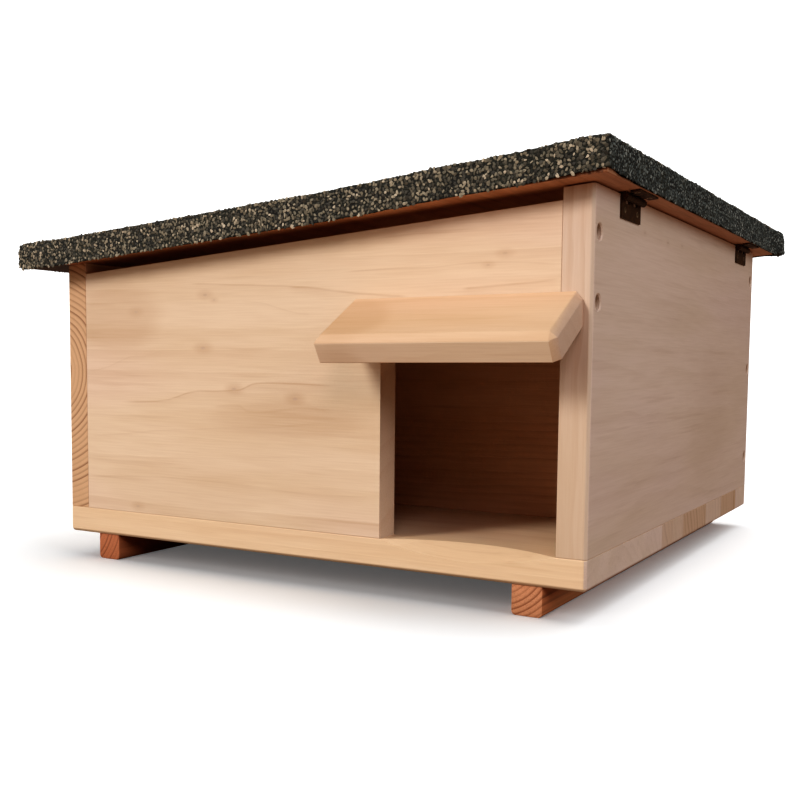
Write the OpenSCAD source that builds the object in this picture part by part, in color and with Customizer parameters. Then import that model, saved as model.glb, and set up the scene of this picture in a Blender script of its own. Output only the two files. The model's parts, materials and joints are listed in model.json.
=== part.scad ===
// Hedgehog house: a softwood box on two battens, with a dog-leg entrance and a hinged, felted roof.
// X runs to the hinge side, Y to the rear and Z up. The origin is on the ground, below the middle of
// the whole house's outline. Lengths are millimetres and angles are degrees.

/* [House box] */
// Width over the outer faces of the two side walls
body_w = 436; // [400:2:480]
// Depth from the front face to the rear face
body_d = 462; // [440:2:520]
// Thickness of the floor, the walls, the panels and the partition
board_t = 20; // [18:1:22]
// Height of the right wall at its outer face, above the floor
right_wall_h = 227; // [220:1:260]
// Fall of the roof towards the left wall
roof_slope = 4.6; // [3:0.2:6]
// Gap left under the roof, over the front panel, the back panel and the partition
vent_gap = 8.5; // [6:0.5:12]
// Chamfer on the outer arrises of the floor and the side walls
arris = 2; // [1:0.5:3]

/* [Entrance and partition] */
// Width of the entrance, measured from the right wall's inner face
entrance_w = 126; // [110:2:140]
// Height of the entrance above the floor
entrance_h = 127; // [115:1:132]
// Distance from the front face to the partition's front face
partition_setback = 153; // [140:1:180]
// Width of the passage left at the partition's left end
passage_w = 126; // [110:2:150]
// Reach of the hollowed sill from the front face into the entrance
sill_reach = 18; // [10:1:19]
// Dip of the hollowed sill below the floor, at the middle of the front face
sill_dip = 9; // [4:0.5:12]

/* [Porch board] */
// Length of the porch board's top face, down its slope
porch_reach = 54; // [44:1:60]
// Thickness of the porch board
porch_t = 18; // [15:0.5:20]
// Tilt of the porch board below level
porch_tilt = 30; // [20:1:40]
// Chamfer round the porch board's three free edges
porch_chamfer = 4; // [2:0.5:5]
// Height of the porch board's lower back edge above the entrance
porch_above = 14; // [12:1:20]
// Overlap of the porch board past the entrance's left edge
porch_left_lap = 24; // [15:1:40]
// Overlap of the porch board past the entrance's right edge
porch_right_lap = 14; // [8:1:16]

/* [Roof] */
// Thickness of the roof board
roof_t = 18; // [16:1:20]
// Thickness of the gritted felt
felt_t = 2.2; // [1.5:0.1:3]
// Overhang of the roof past the left wall, felt included
overhang_left = 32; // [25:1:45]
// Overhang of the roof past the right wall, felt included
overhang_right = 15.5; // [15:0.5:22]
// Overhang of the roof past the front face, felt included
overhang_front = 20.5; // [15:0.5:30]
// Overhang of the roof past the rear face, felt included
overhang_back = 40; // [25:1:50]

/* [Battens] */
// Width of each batten
batten_w = 21; // [18:1:30]
// Height of each batten
batten_h = 20; // [16:1:24]
// Distance from the outer face of a side wall to its batten
batten_inset = 29; // [26:1:60]
// Distance from the front and rear faces to the battens' ends
batten_setback = 2.5; // [1:0.5:10]
// Radius of the battens' lower long edges
batten_round = 3; // [1:0.5:5]

/* [Hinges] */
// Length of each hinge along the wall
hinge_l = 40; // [34:1:50]
// Distance from the front face to the front hinge
front_hinge_setback = 47; // [40:1:80]
// Distance from the rear hinge to the rear face
rear_hinge_setback = 41; // [35:1:80]
// Diameter of the hinge barrel
barrel_d = 5; // [4.6:0.2:5.4]
// Diameter of the hinge pin
pin_d = 2.4; // [2:0.1:2.8]
// Thickness of a hinge leaf
leaf_t = 1.2; // [1:0.1:1.4]
// Reach of a wall leaf below the pin's axis
wall_leaf_reach = 13.6; // [12:0.2:16]
// Distance from a roof leaf's edge to the roof board's edge
roof_leaf_margin = 0.4; // [0.2:0.1:1]
// Number of knuckles in a hinge, the wall leaf holding the two end ones
knuckles = 5; // [3:2:7]

/* [Screws] */
// Diameter of a wood screw's shank
screw_d = 4; // [3.5:0.1:4.5]
// Diameter of a wood screw's head
screw_head_d = 8; // [7:0.2:8.6]
// Length of a wood screw that joins two boards
screw_l = 45; // [35:1:50]
// Length of a screw through a batten into the floor
batten_screw_l = 34; // [28:1:36]
// Length of a screw through the front panel into the porch board
porch_screw_l = 30; // [26:1:32]
// Diameter of the counterbores in the side walls
counterbore_d = 10; // [9:0.5:11]
// Depth of the counterbores in the side walls
counterbore_depth = 4; // [2:0.5:6]
// Distance from a wall's top, the floor or the entrance to the nearest screw in its edge
screw_margin = 29; // [25:1:34]
// Diameter of a hinge screw's shank
hinge_screw_d = 2; // [1.6:0.1:2.4]
// Diameter of a hinge screw's head
hinge_screw_head_d = 4; // [3.6:0.2:4.4]
// Length of a hinge screw
hinge_screw_l = 12; // [8:1:14]
// Distance from a leaf's end to its nearest screw
hinge_screw_inset = 7; // [5:0.5:10]

/* [Hidden] */
$fn = 48;

// Clearances: a screw in its bore, a hinge part beside the next, a pin in a moving knuckle, a side wall
// under the roof board
screw_gap = 0.05;
hinge_gap = 0.25;
pin_gap = 0.05;
seat_gap = 0.02;
// Margin by which a cutter runs past the faces that it cuts
past = 1;

// The house's outline, which puts the origin below its middle
porch_front = porch_reach * cos(porch_tilt) - porch_chamfer * sin(porch_tilt);
porch_top_front = (porch_reach - porch_chamfer) * cos(porch_tilt);
front_reach = max(overhang_front, porch_front, porch_top_front);
x_left = -body_w / 2 + (overhang_left - overhang_right) / 2;
x_right = x_left + body_w;
y_front = -body_d / 2 + (front_reach - overhang_back) / 2;
y_back = y_front + body_d;
x_inner_left = x_left + board_t;
x_inner_right = x_right - board_t;
y_inner_front = y_front + board_t;
y_inner_back = y_back - board_t;

// Heights from the ground
z_floor_under = batten_h;
z_floor = batten_h + board_t;
z_entrance = z_floor + entrance_h;

// Entrance and partition edges
x_entrance = x_inner_right - entrance_w;
y_partition = y_front + partition_setback;
x_partition = x_inner_left + passage_w;

// Hollowed sill: its slope, its depth below the floor's front arris and its radius
sill_slope = atan(sill_dip / sill_reach);
sill_cut = sill_reach * sin(sill_slope);
sill_r = (pow(entrance_w / 2, 2) + pow(sill_cut, 2)) / (2 * sill_cut);

// Porch board: its back edge's height and ends
porch_back_h = porch_t / cos(porch_tilt);
z_porch = z_entrance + porch_above + porch_back_h;
x_porch_left = x_entrance - porch_left_lap;
x_porch_right = x_inner_right + porch_right_lap;

// Hinge pin's axis, clear of the wall's outer face and of the roof's underside
barrel_r = barrel_d / 2;
x_pin = x_right + barrel_r + hinge_gap;
z_pin = under(x_pin) - (barrel_r + hinge_gap) / cos(roof_slope);
knuckle_l = (hinge_l - (knuckles - 1) * hinge_gap) / knuckles;
knuckle_step = knuckle_l + hinge_gap;
y_front_hinge = y_front + front_hinge_setback;
y_rear_hinge = y_back - rear_hinge_setback - hinge_l;
leaf_notch = barrel_r + hinge_gap;
roof_leaf_reach = x_right + overhang_right - felt_t - x_pin - roof_leaf_margin;

// Screw details
head_share = 0.4;
tip_share = 0.2;
recess_share = 0.6;
recess_slot_share = 0.18;

// Height of the roof's underside over a place x
function under(x) = z_floor + right_wall_h + (x - x_right) * tan(roof_slope);

// Evenly spaced places from one end to the other, both ends included
function spaced(first, last, count) = [for (i = [0 : count - 1]) first + (last - first) * i / (count - 1)];

// Places of the screws: the distance along Y or X of each edge, then the screws' heights or lengths
y_front_edge = y_front + board_t / 2;
y_back_edge = y_back - board_t / 2;
right_front_heights = spaced(z_entrance + screw_margin, under(x_right) - screw_margin, 2);
right_back_heights = spaced(z_floor + screw_margin, under(x_right) - screw_margin, 3);
left_heights = spaced(z_floor + screw_margin, under(x_left) - screw_margin, 3);
wall_rows = spaced(y_front + 3 * screw_margin, y_back - 3 * screw_margin, 3);
batten_rows = spaced(y_front + 2 * screw_margin, y_back - 2 * screw_margin, 3);
x_left_batten = x_left + batten_inset;
x_right_batten = x_right - batten_inset - batten_w;
panel_left = x_left_batten + batten_w + screw_margin;
panel_right = x_right_batten - screw_margin;
front_columns = spaced(panel_left, x_entrance - screw_margin, 2);
back_columns = spaced(panel_left, panel_right, 3);
partition_columns = spaced(x_partition + screw_margin, panel_right, 2);
porch_columns = spaced(x_porch_left + screw_margin, x_inner_right - 2 * screw_margin, 2);
z_porch_screw = z_porch - porch_back_h / 2;

// Extrudes an outline of X and Z along Y, from y0 to y1
module along_y(y0, y1) {
    translate([0, y1, 0])
        rotate([90, 0, 0])
            linear_extrude(y1 - y0)
                children();
}

// Extrudes an outline of Y and Z along X, from x0 to x1
module along_x(x0, x1) {
    translate([x0, 0, 0])
        rotate([90, 0, 90])
            linear_extrude(x1 - x0)
                children();
}

// A rectangle from two corners, with each corner cut by its own chamfer, from low left anticlockwise
module chamfered_rect(x0, y0, x1, y1, cuts) {
    polygon([
        [x0 + cuts[0], y0], [x1 - cuts[1], y0],
        [x1, y0 + cuts[1]], [x1, y1 - cuts[2]],
        [x1 - cuts[2], y1], [x0 + cuts[3], y1],
        [x0, y1 - cuts[3]], [x0, y0 + cuts[0]]
    ]);
}

// An upright board between x0 and x1 whose top follows the roof at a drop below it
module board_under_roof(x0, x1, y0, y1, drop) {
    along_y(y0, y1)
        polygon([[x0, z_floor], [x1, z_floor], [x1, under(x1) - drop], [x0, under(x0) - drop]]);
}

// A countersunk screw pointing down from z = 0, enlarged by gap to make its bore
module screw_body(d, head_d, length, gap) {
    head_h = head_d * head_share;
    tip_h = d;
    cylinder(h = head_h, r1 = head_d / 2 + gap, r2 = d / 2 + gap);
    cylinder(h = length - tip_h + gap, d = d + 2 * gap);
    translate([0, 0, length - tip_h + gap])
        cylinder(h = tip_h, r1 = d / 2 + gap, r2 = d * tip_share / 2 + gap);
}

// A screw with a cross recess, its head at the origin and its tip towards the given axis
module screw(d, head_d, length) {
    slot = head_d * recess_slot_share;
    wide = head_d * recess_share;
    difference() {
        screw_body(d, head_d, length, 0);
        for (turn = [0, 90])
            rotate(turn)
                translate([-wide / 2, -slot / 2, -past])
                    cube([wide, slot, past + slot]);
    }
}

// The bore for a screw, open above its head and with an optional counterbore behind the head
module screw_bore(d, head_d, length, bore_d, depth) {
    screw_body(d, head_d, length, screw_gap);
    translate([0, 0, -past])
        cylinder(h = past + screw_gap, d = head_d + 2 * screw_gap);
    if (depth > 0)
        translate([0, 0, -depth - past])
            cylinder(h = depth + past, d = bore_d);
}

// Places children, which point along Z, at each screw of the right wall, pointing to -X
module at_right_wall_screws() {
    for (z = right_front_heights)
        translate([x_right - counterbore_depth, y_front_edge, z])
            rotate([0, -90, 0])
                children();
    for (z = right_back_heights)
        translate([x_right - counterbore_depth, y_back_edge, z])
            rotate([0, -90, 0])
                children();
}

// Places children at each screw of the left wall, pointing to +X
module at_left_wall_screws() {
    for (y = [y_front_edge, y_back_edge], z = left_heights)
        translate([x_left + counterbore_depth, y, z])
            rotate([0, 90, 0])
                children();
}

// Places children at each screw that comes up through the floor into a wall or a panel
module at_floor_screws() {
    for (x = [x_left + board_t / 2, x_right - board_t / 2], y = wall_rows)
        translate([x, y, z_floor_under])
            children();
    for (x = front_columns)
        translate([x, y_front_edge, z_floor_under])
            children();
    for (x = back_columns)
        translate([x, y_back_edge, z_floor_under])
            children();
}

// Places children at each screw that comes up through the floor into the partition
module at_partition_screws() {
    for (x = partition_columns)
        translate([x, y_partition + board_t / 2, z_floor_under])
            children();
}

// Places children at each screw that comes up through a batten into the floor
module at_batten_screws() {
    for (x = [x_left_batten, x_right_batten], y = batten_rows)
        translate([x + batten_w / 2, y, 0])
            children();
}

// Places children at each screw from inside the front panel into the porch board, pointing to -Y
module at_porch_screws() {
    for (x = porch_columns)
        translate([x, y_inner_front, z_porch_screw])
            rotate([90, 0, 0])
                children();
}

// Places children at each screw of one hinge's wall leaf, pointing to -X
module at_wall_leaf_screws(y) {
    for (along = [hinge_screw_inset, hinge_l - hinge_screw_inset])
        translate([x_right + leaf_t, y + along, z_pin - (wall_leaf_reach + barrel_r) / 2])
            rotate([0, -90, 0])
                children();
}

// Places children at each screw of one hinge's roof leaf, pointing up into the roof board
module at_roof_leaf_screws(y) {
    for (along = [hinge_screw_inset, hinge_l - hinge_screw_inset])
        at_pin(y + along)
            translate([(roof_leaf_reach + barrel_r) / 2, 0, leaf_notch - leaf_t])
                children();
}

// Moves children to the pin's axis at a place y and tilts them with the roof
module at_pin(y) {
    translate([x_pin, y, z_pin])
        rotate([0, -roof_slope, 0])
            children();
}

// The bore for a wood screw in the boards that it joins
module wood_screw_bore() {
    screw_bore(screw_d, screw_head_d, screw_l, counterbore_d, 0);
}

// The bore for a wood screw whose head is sunk in a counterbore
module sunk_screw_bore() {
    screw_bore(screw_d, screw_head_d, screw_l, counterbore_d, counterbore_depth);
}

// The bore for a hinge screw
module hinge_screw_bore() {
    screw_bore(hinge_screw_d, hinge_screw_head_d, hinge_screw_l, 0, 0);
}

// The round cutter that hollows the floor's front arris across the entrance, sloping up to the rear
module sill_hollow() {
    translate([x_entrance + entrance_w / 2, y_front, z_floor])
        rotate([sill_slope, 0, 0])
            translate([0, 0, sill_r - sill_cut])
                rotate([-90, 0, 0])
                    cylinder(h = 4 * sill_reach, r = sill_r, center = true, $fn = 240);
}

// The floor board, full width and depth, with chamfered lower and upright arrises and a hollowed sill
module base_plate() {
    color("burlywood")
        difference() {
            intersection() {
                linear_extrude(z_floor)
                    chamfered_rect(x_left, y_front, x_right, y_back, [arris, arris, arris, arris]);
                along_y(y_front, y_back)
                    chamfered_rect(x_left, z_floor_under, x_right, z_floor, [arris, arris, 0, 0]);
                along_x(x_left, x_right)
                    chamfered_rect(y_front, z_floor_under, y_back, z_floor, [arris, arris, 0, 0]);
            }
            at_floor_screws()
                wood_screw_bore();
            at_partition_screws()
                wood_screw_bore();
            at_batten_screws()
                screw_bore(screw_d, screw_head_d, batten_screw_l, 0, 0);
            sill_hollow();
        }
}

// A batten below the floor, with rounded lower long edges
module batten(x0) {
    x1 = x0 + batten_w;
    color("peru")
        difference() {
            along_y(y_front + batten_setback, y_back - batten_setback)
                union() {
                    translate([x0, batten_round])
                        square([batten_w, batten_h - batten_round]);
                    translate([x0 + batten_round, 0])
                        square([batten_w - 2 * batten_round, batten_h]);
                    for (x = [x0 + batten_round, x1 - batten_round])
                        translate([x, batten_round])
                            circle(batten_round);
                }
            at_batten_screws()
                screw_bore(screw_d, screw_head_d, batten_screw_l, 0, 0);
        }
}

// The batten near the left wall
module left_batten() {
    batten(x_left_batten);
}

// The batten near the right wall
module right_batten() {
    batten(x_right_batten);
}

// The low side wall, with chamfered outer upright arrises
module left_wall() {
    color("tan")
        difference() {
            intersection() {
                board_under_roof(x_left, x_inner_left, y_front, y_back, seat_gap);
                linear_extrude(under(x_right))
                    chamfered_rect(x_left, y_front, x_inner_left, y_back, [arris, 0, 0, arris]);
            }
            at_left_wall_screws()
                sunk_screw_bore();
            at_floor_screws()
                wood_screw_bore();
        }
}

// The high side wall, which carries the hinges and is the entrance's right jamb
module right_wall() {
    color("tan")
        difference() {
            intersection() {
                board_under_roof(x_inner_right, x_right, y_front, y_back, seat_gap);
                linear_extrude(under(x_right))
                    chamfered_rect(x_inner_right, y_front, x_right, y_back, [0, arris, arris, 0]);
            }
            at_right_wall_screws()
                sunk_screw_bore();
            at_floor_screws()
                wood_screw_bore();
            for (y = [y_front_hinge, y_rear_hinge])
                at_wall_leaf_screws(y)
                    hinge_screw_bore();
        }
}

// The front board between the walls, cut away at its lower right for the entrance
module front_panel() {
    color("navajowhite")
        difference() {
            board_under_roof(x_inner_left, x_inner_right, y_front, y_inner_front, vent_gap);
            translate([x_entrance, y_front - past, z_floor - past])
                cube([entrance_w + past, board_t + 2 * past, entrance_h + past]);
            at_right_wall_screws()
                wood_screw_bore();
            at_left_wall_screws()
                wood_screw_bore();
            at_floor_screws()
                wood_screw_bore();
            at_porch_screws()
                screw_bore(screw_d, screw_head_d, porch_screw_l, 0, 0);
        }
}

// The rear board between the walls
module back_panel() {
    color("navajowhite")
        difference() {
            board_under_roof(x_inner_left, x_inner_right, y_inner_back, y_back, vent_gap);
            at_right_wall_screws()
                wood_screw_bore();
            at_left_wall_screws()
                wood_screw_bore();
            at_floor_screws()
                wood_screw_bore();
        }
}

// The board across the box behind the entrance, open at its left end
module partition_wall() {
    color("tan")
        difference() {
            board_under_roof(x_partition, x_inner_right, y_partition, y_partition + board_t, vent_gap);
            at_partition_screws()
                wood_screw_bore();
        }
}

// The tilted board over the entrance, its back cut upright against the front face
module porch_canopy() {
    color("burlywood")
        difference() {
            translate([0, y_front, z_porch])
                rotate([porch_tilt, 0, 0])
                    intersection() {
                        along_x(x_porch_left, x_porch_right)
                            chamfered_rect(-porch_reach, -porch_t, 0, 0, [0, 0, 0, porch_chamfer]);
                        along_y(-porch_reach, 0)
                            chamfered_rect(x_porch_left, -porch_t, x_porch_right, 0,
                                [0, 0, porch_chamfer, porch_chamfer]);
                        translate([0, 0, -porch_t])
                            linear_extrude(porch_t)
                                chamfered_rect(x_porch_left, -porch_reach, x_porch_right, 0,
                                    [porch_chamfer, porch_chamfer, 0, 0]);
                    }
            translate([x_porch_left - past, y_front, z_floor])
                cube([x_porch_right - x_porch_left + 2 * past, porch_t + past, z_porch]);
            at_porch_screws()
                screw_bore(screw_d, screw_head_d, porch_screw_l, 0, 0);
        }
}

// An outline of the roof in X and Z with plumb ends, grown outwards and upwards by felt, and down by drop
module roof_outline(felt, drop) {
    x0 = x_left - overhang_left + felt_t - felt;
    x1 = x_right + overhang_right - felt_t + felt;
    rise = (roof_t + felt) / cos(roof_slope);
    polygon([
        [x0, under(x0) - drop], [x1, under(x1) - drop],
        [x1, under(x1) + rise], [x0, under(x0) + rise]
    ]);
}

// The roof board, which lies on the side walls and carries the roof leaves
module roof_board() {
    color("sienna")
        difference() {
            along_y(y_front - overhang_front + felt_t, y_back + overhang_back - felt_t)
                roof_outline(0, 0);
            for (y = [y_front_hinge, y_rear_hinge])
                at_roof_leaf_screws(y)
                    hinge_screw_bore();
        }
}

// The gritted felt over the roof board, folded down over its four edges
module roof_felt() {
    color("dimgray")
        difference() {
            along_y(y_front - overhang_front, y_back + overhang_back)
                roof_outline(felt_t, 0);
            along_y(y_front - overhang_front + felt_t, y_back + overhang_back - felt_t)
                roof_outline(0, past);
        }
}

// Every second knuckle of a hinge from the first one given, not yet bored
module knuckle_row(y, first) {
    for (i = [first : 2 : knuckles - 1])
        along_y(y + i * knuckle_step, y + i * knuckle_step + knuckle_l)
            translate([x_pin, z_pin])
                circle(barrel_r);
}

// The bore through a whole barrel for its pin
module pin_bore(y) {
    translate([x_pin, y - past, z_pin])
        rotate([-90, 0, 0])
            cylinder(h = hinge_l + 2 * past, d = pin_d + 2 * pin_gap);
}

// The spaces that a leaf leaves for the other leaf's knuckles
module knuckle_spaces(y, first) {
    side = 2 * (leaf_notch + past);
    for (i = [first : 2 : knuckles - 1])
        translate([x_pin - leaf_notch - past, y + i * knuckle_step - hinge_gap, z_pin - leaf_notch - past])
            cube([side, knuckle_l + 2 * hinge_gap, side]);
}

// The leaf screwed to the right wall, with the outer knuckles
module wall_leaf(y) {
    color("darkslategray")
        difference() {
            union() {
                knuckle_row(y, 0);
                difference() {
                    translate([x_right, y, z_pin - wall_leaf_reach])
                        cube([leaf_t, hinge_l, wall_leaf_reach]);
                    knuckle_spaces(y, 1);
                }
            }
            pin_bore(y);
            at_wall_leaf_screws(y)
                hinge_screw_bore();
        }
}

// The leaf screwed to the roof board's underside, with the inner knuckles
module roof_leaf(y) {
    color("darkslategray")
        difference() {
            union() {
                knuckle_row(y, 1);
                difference() {
                    at_pin(y)
                        translate([0, 0, leaf_notch - leaf_t])
                            cube([roof_leaf_reach, hinge_l, leaf_t]);
                    knuckle_spaces(y, 0);
                }
            }
            pin_bore(y);
            at_roof_leaf_screws(y)
                hinge_screw_bore();
        }
}

// A hinge pin, as long as its barrel
module hinge_pin(y) {
    color("gray")
        translate([x_pin, y, z_pin])
            rotate([-90, 0, 0])
                cylinder(h = hinge_l, d = pin_d);
}

// The wall leaf of the front hinge
module front_hinge_wall_leaf() {
    wall_leaf(y_front_hinge);
}

// The wall leaf of the rear hinge
module rear_hinge_wall_leaf() {
    wall_leaf(y_rear_hinge);
}

// The roof leaf of the front hinge
module front_hinge_roof_leaf() {
    roof_leaf(y_front_hinge);
}

// The roof leaf of the rear hinge
module rear_hinge_roof_leaf() {
    roof_leaf(y_rear_hinge);
}

// The pin of the front hinge
module front_hinge_pin() {
    hinge_pin(y_front_hinge);
}

// The pin of the rear hinge
module rear_hinge_pin() {
    hinge_pin(y_rear_hinge);
}

// The small screws through both wall leaves
module hinge_wall_screws() {
    color("darkslategray")
        for (y = [y_front_hinge, y_rear_hinge])
            at_wall_leaf_screws(y)
                screw(hinge_screw_d, hinge_screw_head_d, hinge_screw_l);
}

// The small screws through both roof leaves
module hinge_roof_screws() {
    color("darkslategray")
        for (y = [y_front_hinge, y_rear_hinge])
            at_roof_leaf_screws(y)
                screw(hinge_screw_d, hinge_screw_head_d, hinge_screw_l);
}

// The screws through the right wall into the two panels
module right_wall_screws() {
    color("silver")
        at_right_wall_screws()
            screw(screw_d, screw_head_d, screw_l);
}

// The screws through the left wall into the two panels
module left_wall_screws() {
    color("silver")
        at_left_wall_screws()
            screw(screw_d, screw_head_d, screw_l);
}

// The screws up through the floor into the walls and the panels
module floor_screws() {
    color("silver")
        at_floor_screws()
            screw(screw_d, screw_head_d, screw_l);
}

// The screws up through the floor into the partition
module partition_screws() {
    color("silver")
        at_partition_screws()
            screw(screw_d, screw_head_d, screw_l);
}

// The screws up through the battens into the floor
module batten_screws() {
    color("silver")
        at_batten_screws()
            screw(screw_d, screw_head_d, batten_screw_l);
}

// The screws from inside the front panel into the porch board
module porch_screws() {
    color("silver")
        at_porch_screws()
            screw(screw_d, screw_head_d, porch_screw_l);
}

base_plate();
left_batten();
right_batten();
left_wall();
right_wall();
front_panel();
back_panel();
partition_wall();
porch_canopy();
roof_board();
roof_felt();
front_hinge_wall_leaf();
rear_hinge_wall_leaf();
front_hinge_roof_leaf();
rear_hinge_roof_leaf();
front_hinge_pin();
rear_hinge_pin();
hinge_wall_screws();
hinge_roof_screws();
right_wall_screws();
left_wall_screws();
floor_screws();
partition_screws();
batten_screws();
porch_screws();
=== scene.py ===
"""Dresses the hedgehog house: sawn boards, a gritted felt roof and bronzed hinges, in a plain pale studio."""

import json
import logging
import math
from collections.abc import Callable, Sequence
from dataclasses import dataclass, replace
from enum import Enum

import bmesh
import bpy
from mathutils import Matrix, Vector

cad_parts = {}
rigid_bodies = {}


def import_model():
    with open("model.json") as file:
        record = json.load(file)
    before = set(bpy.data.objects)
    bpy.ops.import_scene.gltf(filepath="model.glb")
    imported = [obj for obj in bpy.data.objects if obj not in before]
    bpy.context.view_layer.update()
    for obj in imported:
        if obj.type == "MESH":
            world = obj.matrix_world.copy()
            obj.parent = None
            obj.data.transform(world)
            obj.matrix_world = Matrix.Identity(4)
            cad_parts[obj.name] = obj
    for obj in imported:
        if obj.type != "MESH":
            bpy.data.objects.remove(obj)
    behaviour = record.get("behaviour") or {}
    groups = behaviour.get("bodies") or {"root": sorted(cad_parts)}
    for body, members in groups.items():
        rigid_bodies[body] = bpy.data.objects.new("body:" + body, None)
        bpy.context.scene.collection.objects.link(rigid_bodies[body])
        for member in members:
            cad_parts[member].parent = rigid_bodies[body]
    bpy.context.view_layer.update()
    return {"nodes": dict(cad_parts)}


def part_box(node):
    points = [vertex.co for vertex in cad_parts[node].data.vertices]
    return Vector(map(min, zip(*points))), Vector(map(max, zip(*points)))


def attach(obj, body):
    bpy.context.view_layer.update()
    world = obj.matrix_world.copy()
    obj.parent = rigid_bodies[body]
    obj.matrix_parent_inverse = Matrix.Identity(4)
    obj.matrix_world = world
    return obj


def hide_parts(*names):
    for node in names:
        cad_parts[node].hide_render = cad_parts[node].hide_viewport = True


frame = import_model()

LOG = logging.getLogger("hedgehog_house")
MM = 0.001
ROOF_SLOPE = math.radians(4.6)
BOARD_ANGLE = 12
LAST_STAVE = 60 * MM
WHITE = (1.0, 1.0, 1.0, 1.0)

Point = tuple[float, float, float]
Colour = tuple[float, float, float, float]
Steps = tuple[tuple[float, float], ...]


def srgb(red: int, green: int, blue: int) -> Colour:
    """Turns a screen colour of 0 to 255 into a linear colour.

    Args:
        red: Red part.
        green: Green part.
        blue: Blue part.

    Returns:
        The colour with full alpha.
    """

    def linear(part: int) -> float:
        """Takes the screen curve off one part."""
        share = part / 255
        return share / 12.92 if share <= 0.04045 else ((share + 0.055) / 1.055) ** 2.4

    return (linear(red), linear(green), linear(blue), 1.0)


class Body(Enum):
    """The bodies that pieces ride on."""

    HOUSE = "house"
    ROOF = "roof"


class Slot(Enum):
    """The record's material slots, passed along with the new pieces but not used."""

    LIGHT_BOARD = "light_board"
    HONEY_BOARD = "honey_board"
    REDDISH_BATTEN = "reddish_batten"
    BROWN_BOARD = "brown_board"
    GRITTED_FELT = "gritted_felt"


class Axis(Enum):
    """A direction of the shared frame, with its index."""

    X = 0
    Y = 1
    Z = 2

    def across(self) -> tuple[int, int]:
        """The indexes of the two other directions."""
        return tuple(index for index in range(3) if index != self.value)


class Part(Enum):
    """What edit mode selects."""

    CORNER = "VERT"
    EDGE = "EDGE"
    FACE = "FACE"


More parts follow.
